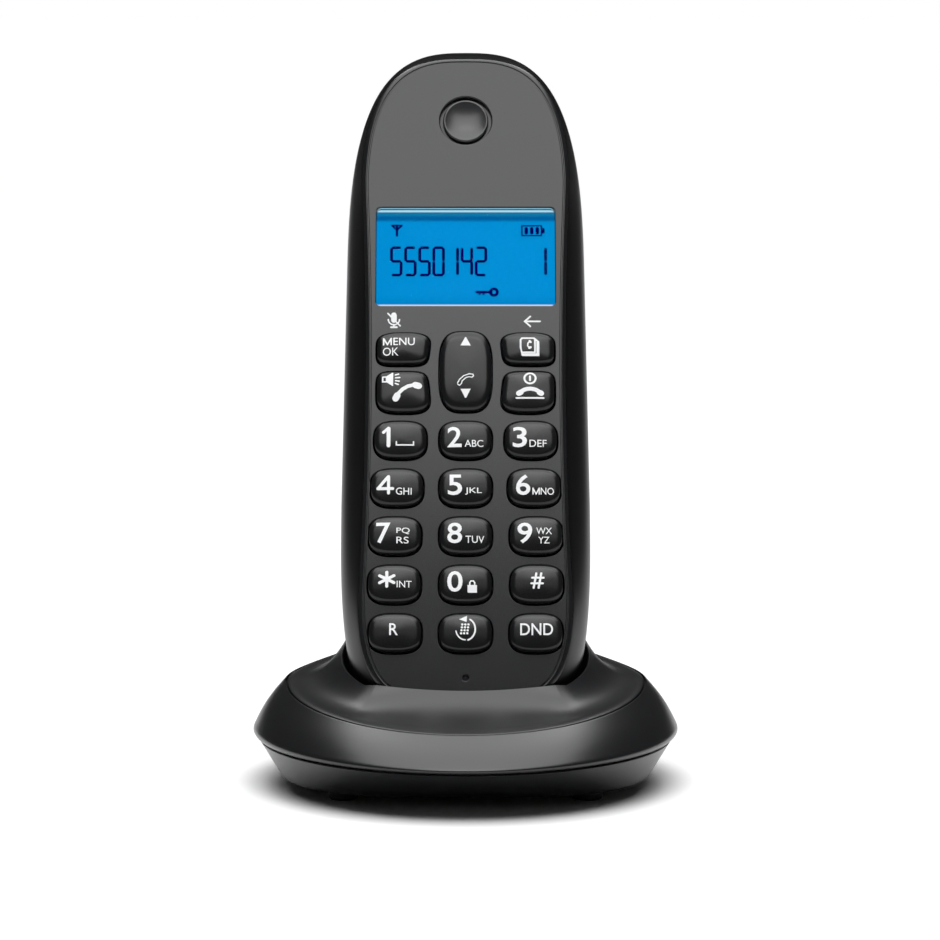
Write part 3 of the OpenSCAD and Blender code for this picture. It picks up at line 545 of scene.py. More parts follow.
def buildEarpieceDisc():
    radius = faceHoles["discRadius"]
    inside = radius - earpiece["rim"]
    profile = [(radius - 0.1, earpiece["thickness"]), (radius, 0.9), (radius, 0.35), (radius - 0.06, 0.18),
               (radius - 0.2, 0.08), (radius - 0.38, 0.06), (inside, earpiece["rimDepth"])]
    profile += [(r, earpiece["rimDepth"] + earpiece["dish"] * (1 - (r / inside) ** 2))
                for r in (3.9, 3.4, 2.8, 2.1, 1.4, 0.7, 0.1)]
    centre = onHandset(0, 0, faceHoles["discCentre"])
    disc = turned("earpiece_dish", finishes["disc_plastic"], profile, centre, inward, 72)
    standFor(disc, "handset", "disc_plastic", "earpiece_disc")


buildEarpieceDisc()


# Display: a clear window over the lit panel and its dark segments

panel = {"depth": 1.3, "thickness": 0.6, "margin": 0.05, "windowDepth": 0.02, "glow": 1.15,
         "sheenStrength": 0.35, "smear": 0.03, "windowIndex": 1.04}


def litPanelFinish():
    finish, nodes, links, shader = newFinish("lcd_blue")
    half = displayWindow["height"] / 2
    share = heightShare(nodes, links, displayWindow["centre"] - half, displayWindow["centre"] + half)
    blue, deep, teal, glow = (0.0, 0.285, 0.70), (0.0, 0.12, 0.37), (0.005, 0.19, 0.38), (0.6, 0.85, 1.0)
    ramp = bands(nodes, links, share, [
        (0.0, (0.9, 0.95, 1.0)), (0.022, (0.9, 0.95, 1.0)), (0.034, (0.0, 0.24, 0.62)), (0.12, blue),
        (0.87, blue), (0.90, deep), (0.925, deep), (0.945, teal), (0.972, teal), (0.982, glow),
        (1.0, (0.2, 0.55, 0.7))])
    place = nodes.new("ShaderNodeTexCoord")
    # painted sheen: pale patches at random, multiplied into the panel's colour by the sheen share set in
    # panel
    sheen = spotNoise(nodes, links, place, 22)
    mix = nodes.new("ShaderNodeMix")
    mix.data_type = "RGBA"
    mix.blend_type = "MULTIPLY"
    mix.inputs["Factor"].default_value = panel["sheenStrength"]
    paleness = nodes.new("ShaderNodeValToRGB")
    paleness.color_ramp.elements[0].color = (0.75, 0.85, 0.95, 1)
    paleness.color_ramp.elements[1].color = (1.2, 1.15, 1.1, 1)
    links.new(sheen.outputs["Fac"], paleness.inputs["Fac"])
    links.new(ramp.outputs["Color"], mix.inputs[6])
    links.new(paleness.outputs["Color"], mix.inputs[7])
    links.new(mix.outputs[2], shader.inputs["Emission Color"])
    shader.inputs["Emission Strength"].default_value = panel["glow"]
    shader.inputs["Base Color"].default_value = (0.0, 0.01, 0.03, 1)
    shader.inputs["Roughness"].default_value = 0.5
    shader.inputs["Specular IOR Level"].default_value = 0.0
    return finish


def clearWindowFinish():
    finish, nodes, links, shader = newFinish("window_clear")
    place = nodes.new("ShaderNodeTexCoord")
    smear = spotNoise(nodes, links, place, 12)
    polish = nodes.new("ShaderNodeMapRange")
    polish.inputs["To Min"].default_value = 0.0
    polish.inputs["To Max"].default_value = panel["smear"]
    links.new(smear.outputs["Fac"], polish.inputs["Value"])
    links.new(polish.outputs["Result"], shader.inputs["Roughness"])
    shader.inputs["Transmission Weight"].default_value = 1.0
    shader.inputs["IOR"].default_value = panel["windowIndex"]  # low, as on a window coated against glare
    return finish


finishes["lcd_blue"] = litPanelFinish()
finishes["window_clear"] = clearWindowFinish()


def roundedPlate(name, finish, width, height, corner, front, back, centre, edge=0.12):
    rings = []
    for grow, depth in ((-1.2, back), (0, back), (0, front + edge), (-edge * 0.3, front + edge * 0.3),
                        (-edge, front), (-1.2, front)):
        outline = roundedRect(width + 2 * grow, height + 2 * grow, max(0.05, corner + grow))
        rings.append([onHandset(x, depth, s + centre) for x, s in outline])
    mesh = bmesh.new()
    closedLoft(mesh, rings)
    return asObject(mesh, name, finish)


def buildDisplay():
    w = displayWindow
    lens = roundedPlate("display_lens", finishes["window_clear"], w["width"], w["height"], w["corner"],
                        panel["windowDepth"], w["thickness"], w["centre"])
    standFor(lens, "handset", "window_clear", "display_window")
    lit = roundedPlate("lit_panel", finishes["lcd_blue"], w["width"] - panel["margin"],
                       w["height"] - panel["margin"], w["corner"], panel["depth"],
                       panel["depth"] + panel["thickness"], w["centre"], 0.03)
    standFor(lit, "handset", "lcd_blue", "lcd_glass")


buildDisplay()


# Printed marks: flat shapes as lists of (x, y) outlines, laid on a surface

def strokeOutline(path, width, cap=6):
    half = width / 2
    left, right = [], []
    for i, point in enumerate(path):
        here = Vector(point)
        before = (here - Vector(path[i - 1])).normalized() if i else None
        after = (Vector(path[i + 1]) - here).normalized() if i < len(path) - 1 else None
        run = ((before or after) + (after or before)).normalized()
        side = Vector((-run.y, run.x))
        reach = half / max(0.4, side.dot(Vector((-(after or before).y, (after or before).x))))
        left.append(here + side * reach)
        right.append(here - side * reach)
    first = (Vector(path[1]) - Vector(path[0])).normalized()
    last = (Vector(path[-1]) - Vector(path[-2])).normalized()

    def arc(centre, direction):
        start = math.atan2(direction.y, direction.x) + math.pi / 2
        turns = [start - math.pi * k / cap for k in range(1, cap)]
        return [Vector(centre) + Vector((math.cos(a), math.sin(a))) * half for a in turns]

    return left + arc(path[-1], last) + right[::-1] + arc(path[0], -first)


def arcPath(cx, cy, radius, start, end, steps=16, squash=1.0):
    return [(cx + radius * math.cos(math.radians(start + (end - start) * k / steps)),
             cy + radius * squash * math.sin(math.radians(start + (end - start) * k / steps)))
            for k in range(steps + 1)]


def stroke(width, *path):
    return strokeOutline(list(path), width)


def ringMark(cx, cy, radius, width):
    return [strokeOutline(arcPath(cx, cy, radius, 0, 180), width, 2),
            strokeOutline(arcPath(cx, cy, radius, 180, 360), width, 2)]


def disc(cx, cy, radius, steps=24):
    return [Vector(p) for p in circlePoints(cx, cy, radius, steps)]


def outlineOf(*points):
    return [Vector(p) for p in points]


# Letters or digits fitted to a box: the default typeface, thickened by weight
def lettering(text, left, low, width, height, weight=0.0):
    curve = bpy.data.curves.new("letters", "FONT")
    curve.body = text
    curve.size = 1.0
    curve.offset = weight
    curve.resolution_u = 4
    holder = bpy.data.objects.new("letters", curve)
    bpy.context.scene.collection.objects.link(holder)
    bpy.context.view_layer.update()
    data = bpy.data.meshes.new_from_object(holder.evaluated_get(bpy.context.evaluated_depsgraph_get()))
    bpy.data.objects.remove(holder)
    xs = [v.co.x for v in data.vertices]
    ys = [v.co.y for v in data.vertices]
    firstX, firstY = min(xs), min(ys)
    scaleX, scaleY = width / (max(xs) - firstX), height / (max(ys) - firstY)
    corners = [(left + (x - firstX) * scaleX, low + (y - firstY) * scaleY) for x, y in zip(xs, ys)]
    faces = [[Vector(corners[i]) for i in polygon.vertices] for polygon in data.polygons]
    bpy.data.meshes.remove(data)
    return {"faces": faces}


markLift = 0.03  # how far print stands off the plastic under it


# Shapes are outlines, or the faces of letters; surface turns (x, y, lift) into a point. Each next shape
# lies one step higher than the last, so that no two overlap
def printMarks(name, shapes, surface, finish, body, slot, longest=0.9, step=0.004):
    mesh = bmesh.new()
    for layer, shape in enumerate(shapes, 1):
        outlines = shape["faces"] if isinstance(shape, dict) else [shape]
        part = bmesh.new()
        for outline in outlines:
            part.faces.new([part.verts.new((p.x, p.y, 0)) for p in outline])
        bmesh.ops.remove_doubles(part, verts=part.verts, dist=1e-5)
        bmesh.ops.triangulate(part, faces=part.faces)
        for turn in range(3):
            long = [e for e in part.edges if e.calc_length() > longest]
            if not long:
                break
            bmesh.ops.subdivide_edges(part, edges=long, cuts=1)
            bmesh.ops.triangulate(part, faces=part.faces)
        found = {v: mesh.verts.new(surface(v.co.x, v.co.y, markLift + layer * step)) for v in part.verts}
        for face in part.faces:
            corners = [found[v] for v in face.verts]
            if not mesh.faces.get(corners):
                mesh.faces.new(corners)
        part.free()
    marks = asObject(mesh, name, finish)
    for polygon in marks.data.polygons:
        if polygon.normal.dot(inward) > 0:
            polygon.flip()
    standFor(marks, body, slot)


def diagonalHandset(width):
    arm, ends = width * 0.75, width * 1.35
    return [stroke(arm, (-1.9, -1.7), (-1.55, -0.75), (-0.75, 0.1), (0.3, 0.75), (1.4, 1.0), (2.3, 0.9)),
            stroke(ends, (-2.05, -1.75), (-1.75, -1.15)), stroke(ends, (1.75, 1.02), (2.4, 0.85))]


def shifted(shapes, dx, dy, scale=1.0):
    return [[Vector((p.x * scale + dx, p.y * scale + dy)) for p in shape] for shape in shapes]


def keypadGrid(cx, cy, pitch, size):
    return [disc(cx + i * pitch + j * 0.08, cy + j * pitch, size, 10) for i in (-1, 0, 1)
            for j in (-1.5, -0.5, 0.5, 1.5)]


digitBox = {"low": -1.9, "height": 4.4, "weight": 0.012}
smallBox = {"low": -1.85, "height": 1.5, "weight": 0.004}


# A capital M and the figure 4, drawn as pen strokes
def letterM(left, low, width, height, pen):
    right, middle = left + width, left + width / 2
    foot, top = low + pen / 2, low + height - pen / 2
    return [stroke(pen, (left, foot), (left, top)), stroke(pen, (left, top), (middle, foot)),
            stroke(pen, (middle, foot), (right, top)), stroke(pen, (right, top), (right, foot))]


def figureFour(left, pen):
    return [stroke(pen, (left + 2.15, -1.5), (left + 2.15, 2.05)),
            stroke(pen, (left + 2.1, 2.05), (left, -0.5)), stroke(pen, (left, -0.55), (left + 3.0, -0.55))]


def digitMark(text, left, width):
    return lettering(text, left, digitBox["low"], width, digitBox["height"], digitBox["weight"])


def smallMark(text, left, width, low=smallBox["low"], height=smallBox["height"]):
    return lettering(text, left, low, width, height, smallBox["weight"])


keyMarks = {
    "key_1": [stroke(0.78, (-2.4, -1.55), (-2.4, 2.15)), stroke(0.6, (-3.45, 1.3), (-2.45, 2.2)),
              stroke(0.28, (-0.8, -0.75), (-0.8, -1.45), (2.7, -1.45), (2.7, -0.75))],
    "key_2": [digitMark("2", -3.7, 2.9), smallMark("ABC", -0.2, 3.8)],
    "key_3": [digitMark("3", -3.7, 2.9), smallMark("DEF", -0.3, 3.5)],
    "key_4": figureFour(-3.85, 0.62) + [smallMark("GHI", -0.2, 3.2)],
    "key_5": [digitMark("5", -3.6, 2.9), smallMark("JKL", -0.1, 3.4)],
    "key_6": [digitMark("6", -3.7, 2.9), smallMark("NO", 1.3, 2.7),
              *letterM(-0.25, -1.85, 1.25, 1.5, 0.25)],
    "key_7": [digitMark("7", -3.8, 2.9), smallMark("PQ", 0.3, 2.7, 0.0, 1.4),
              smallMark("RS", 0.3, 2.5, -1.95, 1.4)],
    "key_8": [digitMark("8", -3.7, 3.0), smallMark("TUV", 0.0, 3.8)],
    "key_9": [digitMark("9", -3.8, 3.0), smallMark("WX", 0.0, 3.2, 0.0, 1.4),
              smallMark("YZ", 0.4, 2.3, -1.95, 1.4)],
    "key_star": [stroke(0.62, (-1.5, -0.75), (-1.5, 2.25)), stroke(0.62, (-2.95, -0.0), (-0.05, 1.5)),
                 stroke(0.62, (-2.95, 1.5), (-0.05, -0.0)), smallMark("INT", 0.5, 3.0, -1.0, 1.4)],
    "key_0": [digitMark("0", -3.7, 3.1),
              stroke(0.3, (0.55, -1.95), (2.15, -1.95), (2.15, -0.65), (0.55, -0.65), (0.55, -1.8)),
              stroke(0.28, (0.85, -0.6), (0.85, 0.0), (1.1, 0.35), (1.6, 0.35), (1.85, 0.0), (1.85, -0.6)),
              stroke(0.3, (1.35, -1.55), (1.35, -1.0))],
    "key_hash": [stroke(0.42, (-0.65, -1.1), (-0.1, 2.0)), stroke(0.42, (0.35, -1.1), (0.9, 2.0)),
                 stroke(0.42, (-0.95, 1.05), (1.35, 1.05)), stroke(0.42, (-1.1, -0.15), (1.2, -0.15))],
    "key_recall": [lettering("R", -1.15, -0.75, 1.75, 2.5, 0.008)],
    "key_redial": keypadGrid(-0.15, 0.55, 0.62, 0.24) + [
        strokeOutline(arcPath(0.0, 0.5, 1.95, 62, -75, 14, 1.2), 0.34),
        strokeOutline(arcPath(0.0, 0.5, 1.95, 190, 268, 10, 1.15), 0.26),
        outlineOf((-1.3, 2.6), (0.3, 3.35), (0.2, 2.0))],
    "key_silent": [lettering("DND", -3.2, -0.75, 6.6, 2.5, 0.008)],
    "key_menu": letterM(-3.95, 0.65, 1.55, 1.7, 0.3) + [
        lettering("ENU", -1.95, 0.65, 4.4, 1.7, 0.006), lettering("OK", -4.1, -1.6, 3.2, 1.75, 0.0)],
    "key_phonebook": [
        stroke(0.34, (-1.3, -1.2), (-1.6, 0.2), (-1.6, 1.9), (-1.3, 2.25), (1.2, 2.25), (1.35, 1.9),
               (1.35, -0.9), (-1.3, -0.9)),
        stroke(0.6, (-1.15, -1.4), (1.95, -1.4), (1.95, 1.4)), stroke(0.34, (1.35, 2.1), (1.95, 1.5)),
        stroke(0.3, (0.35, 1.55), (-0.1, 1.1), (-0.15, 0.5), (0.3, 0.0)),
        stroke(0.5, (0.25, 1.55), (0.45, 1.35)), stroke(0.5, (0.2, 0.05), (0.45, 0.2))],
    "key_talk": shifted(diagonalHandset(0.95), 0.75, -0.2, 1.06) + [
        outlineOf((-3.4, 2.75), (-2.1, 3.65), (-1.95, 3.65), (-1.95, 0.65), (-2.1, 0.65), (-3.4, 1.55)),
        stroke(0.3, (-4.1, 2.65), (-4.1, 1.6), (-3.3, 1.6), (-3.3, 2.65), (-4.0, 2.65)),
        stroke(0.3, (-1.5, 3.1), (-0.85, 3.3)), stroke(0.3, (-1.45, 2.45), (-0.6, 2.5)),
        stroke(0.3, (-1.45, 1.8), (-0.7, 1.7)), stroke(0.3, (-1.5, 1.2), (-0.9, 0.95))],
    "key_end": ringMark(0.3, 2.35, 1.15, 0.4) + [
        stroke(0.4, (0.3, 1.9), (0.3, 2.8)),
        strokeOutline(arcPath(0.3, -2.35, 2.75, 145, 35, 14, 0.87), 0.85),
        stroke(1.15, (-2.0, -0.95), (-1.6, -0.75)), stroke(1.15, (2.2, -0.75), (2.6, -0.95)),
        stroke(0.36, (-2.5, -1.95), (3.1, -1.95))],
    "key_rocker": shifted([
        stroke(0.22, (-1.6, -1.0), (-1.25, -1.25), (-0.85, -0.85), (-0.7, -0.3), (0.1, 0.45), (0.75, 0.6),
               (1.3, 0.5), (1.65, 0.85), (1.5, 1.15), (0.75, 1.25), (-0.35, 0.85), (-1.25, 0.05),
               (-1.65, -0.75))], 0.0, -2.2) + [
        outlineOf((-1.05, 5.3), (1.05, 5.3), (0.12, 7.15), (-0.12, 7.15)),
        outlineOf((-1.05, -4.2), (-0.12, -6.1), (0.12, -6.1), (1.05, -4.2))],
}


def markKey(key, shapes):
    def surface(x, y, lift):
        share = min(0.995, keyShareAt(key, x, y))  # a mark that runs off the edge stops there
        return onHandset(key["x"] + x, -keyTop(share) - lift, key["s"] + y)
    printMarks(key["name"] + "_mark", shapes, surface, finishes["print_white"], key["name"],
               "white_plastic")


for name, shapes in keyMarks.items():
    markKey(keyCalled[name], shapes)


def faceSurface(centreX, centreS):
    return lambda x, y, lift: onHandset(centreX + x, -lift, centreS + y)


muteMark = [
    stroke(1.15, (0, 0.1), (0, 1.25)), strokeOutline(arcPath(0, 0.25, 1.15, 180, 360, 14, 1.0), 0.3),
    stroke(0.34, (0, -0.85), (0, -1.3)), stroke(0.4, (-0.6, -1.45), (0.6, -1.45)),
    stroke(0.3, (-1.25, 1.6), (1.3, -1.15))]
backMark = [stroke(0.36, (-1.5, 0), (1.55, 0)), stroke(0.36, (-0.45, 1.1), (-1.6, 0), (-0.45, -1.1))]
for name, shapes, place in (("mute_mark", muteMark, (-14.8, 87.1)), ("back_mark", backMark, (13.8, 86.95))):
    printMarks(name, shapes, faceSurface(*place), finishes["print_white"], "handset", "white_plastic")

segments = {"number": "5550142", "width": 2.0, "height": 6.1, "stroke": 0.62, "gap": 0.34, "pitch": 2.93,
            "left": -15.4, "right": 16.6, "base": 97.7}
displayIcons = {"signal": (-14.3, 107.7), "battery": (13.9, 107.6), "lock": (4.6, 93.9)}
litSegments = {"0": "abcdef", "1": "bc", "2": "abged", "4": "fgbc", "5": "afgcd"}


def segmentDigit(digit, left):
    w, h = segments["width"], segments["height"]
    gap = segments["gap"]
    lines = {
        "a": ((gap, h), (w - gap, h)), "b": ((w, h - gap), (w, h / 2 + gap)),
        "c": ((w, h / 2 - gap), (w, gap)), "d": ((w - gap, 0), (gap, 0)),
        "e": ((0, gap), (0, h / 2 - gap)), "f": ((0, h / 2 + gap), (0, h - gap)),
        "g": ((gap, h / 2), (w - gap, h / 2))}
    return shifted([stroke(segments["stroke"], *lines[part]) for part in litSegments[digit]], left, 0)


def buildSegments():
    shapes = []
    for i, digit in enumerate(segments["number"]):
        shapes += segmentDigit(digit, segments["left"] + i * segments["pitch"])
    shapes += segmentDigit("1", segments["right"] - segments["width"])
    icons = {
        "signal": [stroke(0.5, (0, -1.2), (0, 1.1)), stroke(0.42, (0, 0.05), (-1.0, 1.05)),
                   stroke(0.42, (0, 0.05), (1.0, 1.05)), stroke(0.3, (-1.1, 1.1), (1.1, 1.1))],
        "battery": [stroke(0.3, (-2.2, -1.1), (1.85, -1.1), (1.85, 1.1), (-2.2, 1.1), (-2.2, -1.0)),
                    *[stroke(0.75, (x, -0.45), (x, 0.45)) for x in (-1.3, -0.15, 1.0)],
                    stroke(0.6, (2.25, -0.35), (2.25, 0.35))],
        "lock": [*ringMark(1.25, 0, 0.72, 0.62), stroke(0.6, (-2.3, 0.0), (0.7, 0.0)),
                 *[stroke(0.4, (x, -0.2), (x, -0.5)) for x in (-1.7, -0.9)]],
    }
    for name, (x, s) in displayIcons.items():
        shapes += shifted(icons[name], x, s - segments["base"])

    def surface(x, y, lift):
        return onHandset(x, panel["depth"] - 0.02 - lift * 0.5, segments["base"] + y)

    printMarks("display_marks", shapes, surface, finishes["segment_ink"], "handset", "lcd_blue", 50, 0.0005)


buildSegments()
print("display and printed marks built")


# Back of the handset

rearDepths = (10.68, 10.9, 11.5, 12.4, 13.5, 14.7, 15.9, 17.1, 18.3, 19.5, 20.6, 21.6, 22.5, 23.3, 24.0,
              24.5, 24.8)
rear = {"wall": 1.8, "coverWidth": 30, "coverLow": 54, "coverLength": 56, "coverGap": 0.35,
        "coverDeep": 1.8, "seat": 1.4, "ringer": 128, "slotWidth": 10, "slotPitch": 2.6, "slot": 1.0,
        "screws": ((10.5, 121), (8, 12)), "screwHead": 17.0, "screwRadius": 2.45,
        "padX": 8, "padDepth": 12.5, "padWide": 4, "padTall": 5, "play": 0.1, "coverCut": 21.5,
        "slotCut": 18, "slots": 5, "corner": 0.8}


def buildRearShell():
    mesh = bmesh.new()
    part = handset["parting"]
    groove = partingGroove
    inner = [backRing(t, rear["wall"]) for t in (handset["depth"] - rear["wall"], 21, 18, 14.5, part)]
    outer = [backRing(part, groove["depth"]), backRing(part + groove["width"] / 2, groove["depth"]),
             backRing(part + groove["width"] / 2, 0.05)]
    outer += [backRing(t) for t in rearDepths]
    outer += [backRing(24.95, 0.3), backRing(handset["depth"], 0.8)]
    closedLoft(mesh, inner + outer, strips=True)
    shell = asObject(mesh, "rear_shell", finishes["handset_back_plastic"], 40)
    half, low, long = rear["coverWidth"] / 2, rear["coverLow"], rear["coverLength"]
    beyond = handset["depth"] + 5  # the cutters end well outside the back
    cutters = [block(onHandset, (-half, rear["coverCut"], low), (half, beyond, low + long))]
    for i in range(rear["slots"]):
        middle = rear["ringer"] + rear["slotPitch"] * (i - rear["slots"] // 2)
        wide, tall = rear["slotWidth"] / 2, rear["slot"] / 2
        cutters.append(block(onHandset, (-wide, rear["slotCut"], middle - tall),
                             (wide, beyond, middle + tall)))
    for x, s in rear["screws"]:
        for side in (-1, 1):
            cutters.append(turned("cutter", None, [(rear["screwRadius"], rear["screwHead"]),
                                                   (rear["screwRadius"], beyond)],
                                  onHandset(side * x, 0, s), inward, 32))
    for side in (-1, 1):
        x, play = side * rear["padX"], rear["play"]
        wide = rear["padWide"] / 2 + play
        cutters.append(block(onHandset, (x - wide, rear["padDepth"] - play, -2),
                             (x + wide, rear["padDepth"] + rear["padWide"] + play, rear["padTall"])))
    carve(shell, cutters, 40)
    standFor(shell, "handset", "handset_back_plastic", "handset_rear_housing")


buildRearShell()

tray = {"half": 11.4, "low": 57.95, "length": 48.1, "floor": 12.1, "wall": 1.2, "seatOut": 1.5}


# The tray that holds the cells, with the seat that the cover lies on
def buildTray():
    seat = handset["depth"] - rear["coverDeep"] - rear["seat"]
    top = seat + rear["seat"] - 0.2
    middle = tray["low"] + tray["length"] / 2
    inner = (2 * tray["half"], tray["length"])
    wall = 2 * tray["wall"]
    seatSize = (rear["coverWidth"] + 2 * tray["seatOut"], rear["coverLength"] + 2 * tray["seatOut"])
    levels = [(inner[0] - 4, inner[1] - 4, tray["floor"]), (inner[0], inner[1], tray["floor"]),
              (inner[0], inner[1], top - 0.2), (inner[0] + 0.4, inner[1] + 0.4, top),
              (seatSize[0], seatSize[1], top), (seatSize[0], seatSize[1], seat),
              (inner[0] + wall, inner[1] + wall, seat),
              (inner[0] + wall, inner[1] + wall, tray["floor"] - tray["wall"]),
              (inner[0] - 4, inner[1] - 4, tray["floor"] - tray["wall"])]
    mesh = bmesh.new()
    closedLoft(mesh, [[onHandset(x, depth, s + middle) for x, s in roundedRect(wide, long, rear["corner"])]
                      for wide, long, depth in levels])
    piece = asObject(mesh, "cell_tray", finishes["handset_back_plastic"])
    standFor(piece, "handset", "handset_back_plastic", "handset_rear_housing")


buildTray()


# Depth of the back's outer surface at a place across it
def backDepth(x, s):
    share = abs(x) / bodyHalf(s)
    u = min(1, max(0, (1 - share) / handset["backNarrowing"])) ** (1 / 3)
    return handset["parting"] + (handset["depth"] - handset["parting"]) * u


gripRidges = {"count": 5, "pitch": 2.0, "width": 12, "height": 0.9, "below": 14, "deep": 0.5}


def buildBatteryCover():
    width = rear["coverWidth"] - 2 * rear["coverGap"]
    long = rear["coverLength"] - 2 * rear["coverGap"]
    middle = rear["coverLow"] + rear["coverLength"] / 2
    under = handset["depth"] - rear["coverDeep"]
    rings = [[onHandset(x, under, s + middle) for x, s in roundedRect(width, long, rear["corner"])]]
    for grow, sink in ((0, 0.35), (-0.04, 0.2), (-0.12, 0.09), (-0.25, 0.02), (-0.45, 0), (-2, 0), (-6, 0),
                       (-13, 0)):
        outline = roundedRect(width + 2 * grow, long + 2 * grow, max(0.2, rear["corner"] + grow / 2))
        rings.append([onHandset(x, backDepth(x, s + middle) - sink, s + middle) for x, s in outline])
    mesh = bmesh.new()
    closedLoft(mesh, rings)
    door = asObject(mesh, "battery_door_skin", finishes["handset_back_plastic"], 40)
    top = rear["coverLow"] + rear["coverLength"] - gripRidges["below"]
    cutters = []
    for i in range(gripRidges["count"]):
        low = top + i * gripRidges["pitch"]
        half = gripRidges["width"] / 2
        cutters.append(block(onHandset, (-half, handset["depth"] - gripRidges["deep"], low),
                             (half, handset["depth"] + 2, low + gripRidges["height"])))
    carve(door, cutters, 40)
    standFor(door, "battery_door", "handset_back_plastic", "battery_cover")


buildBatteryCover()
print("back of the handset built")


# Base

skirtLow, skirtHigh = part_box("base_skirt")
base = {
    "halfWidth": (skirtHigh.x - skirtLow.x) / 2 / mm, "halfDepth": (skirtHigh.y - skirtLow.y) / 2 / mm,
    "centreY": (skirtHigh.y + skirtLow.y) / 2 / mm, "steps": 200,
    "widest": 11.0, "lowerSeam": 9.4, "upperSeam": 16.1, "seamRise": 9.8, "shoulderX": 6.5,
    "shoulderY": 8.0, "wall": 1.8, "foot": 2.0, "underX": 37.5, "underY": 34.0, "underSquare": 3,
    "upperGap": 0.5, "lowerGap": 0.3, "frontDip": 1.3, "bulge": 0.6,
}
seamX = base["halfWidth"] - base["shoulderX"]
seamY = base["halfDepth"] - base["shoulderY"]


def onBase(x, y, z):
    return Vector((x, y + base["centreY"], z)) * mm


def turnAngles():
    return [2 * math.pi * i / base["steps"] for i in range(base["steps"])]


def oval(inset, z):
    return [onBase((base["halfWidth"] - inset) * math.sin(f), -(base["halfDepth"] - inset) * math.cos(f), z)
            for f in turnAngles()]


# A steady rise over the front half, nearly level past the sides, then up again to the rear
def seamHeight(y):
    share = y / seamY
    return base["upperSeam"] + base["seamRise"] / 2 * (1 + (share if share < 0 else share ** 4))


# The squarer outline of the flat under the base, grown by grow
def under(grow, z):
    def full(v):
        return math.copysign(abs(v) ** (2 / base["underSquare"]), v)
    return [onBase((base["underX"] + grow) * full(math.sin(f)),
                   -(base["underY"] + grow) * full(math.cos(f)), z) for f in turnAngles()]


# Round the widest line: it lies lower at the front, where the skirt runs on almost to the lower seam
def waistRing(inset, z):
    share = (z - base["lowerSeam"]) / (base["widest"] + 1 - base["lowerSeam"])
    return [p - Vector((0, 0, base["frontDip"] * share * max(0, math.cos(f)) ** 2 * mm))
            for p, f in zip(oval(inset, z), turnAngles())]


# k runs from 0 at the widest line to 1 at the upper seam
def skirtRing(k, cut, drop=0.0):
    wide = base["halfWidth"] - 0.3
    deep = base["halfDepth"] - 0.3
    bulge = base["bulge"] * math.sin(math.pi * k)
    a = wide + (seamX - wide) * k + bulge - cut
    b = deep + (seamY - deep) * k + bulge - cut
    ring = []
    for f in turnAngles():
        low = base["widest"] + 1 - base["frontDip"] * max(0, math.cos(f)) ** 2
        top = seamHeight(-seamY * math.cos(f))
        ring.append(onBase(a * math.sin(f), -b * math.cos(f), low + (top - low) * k - drop))
    return ring


socketBay = {"x": 12, "wide": 12.7, "low": 11.15, "high": 20.45, "front": 26.85}
pageButton = {"y": 48.1, "z": 15, "tilt": 28, "radius": 3.2, "gap": 0.3, "proud": 0.9}
pageTilt = math.radians(pageButton["tilt"])
pageAxis = Vector((0, math.cos(pageTilt), math.sin(pageTilt)))


def buildSkirt():
    mesh = bmesh.new()
    seam = base["lowerSeam"] + base["lowerGap"]
    wall = base["wall"]
    rings = [oval(1.2, seam), oval(1.08, seam + 0.08)]
    rings += [waistRing(inset, z) for inset, z in
              ((0.7, 9.95), (0.35, 10.3), (0.14, 10.6), (0.03, 10.85), (0, 11.05), (0.03, 11.3),
               (0.1, 11.55), (0.2, 11.8))]
    rings += [skirtRing(k, 0) for k in
              (0.02, 0.06, 0.12, 0.2, 0.3, 0.4, 0.5, 0.6, 0.7, 0.8, 0.88, 0.94, 0.97, 0.985)]
    rings += [skirtRing(0.995, 0.02), skirtRing(1.0, 0.08), skirtRing(1.0, 0.12, 0.12),
              skirtRing(1.0, 0.12, 0.75)]
    rings += [skirtRing(1.0, wall, 0.85), skirtRing(0.5, wall), skirtRing(0.0, wall), oval(wall, 11.0),
              oval(wall + 0.3, seam)]
    loft(mesh, rings, hoop=True)
    skirt = asObject(mesh, "skirt_shell", finishes["base_skirt_plastic"], 40)
    cutters = []
    for side in (-1, 1):
        x, half = side * socketBay["x"], socketBay["wide"] / 2
        cutters.append(block(onBase, (x - half, socketBay["front"], socketBay["low"]),
                                 (x + half, 70, socketBay["high"])))
    hole = pageButton["radius"] + pageButton["gap"]
    cutters.append(turned("cutter", None, [(hole, -12), (hole, 10)],
                          onBase(0, pageButton["y"], pageButton["z"]), pageAxis, 48))
    carve(skirt, cutters, 40)
    standFor(skirt, "base", "base_skirt_plastic", "base_skirt")


buildSkirt()

bottom = {"screws": ((18, 25), (18, -25)), "screwHole": 2.45, "floor": 3.8}


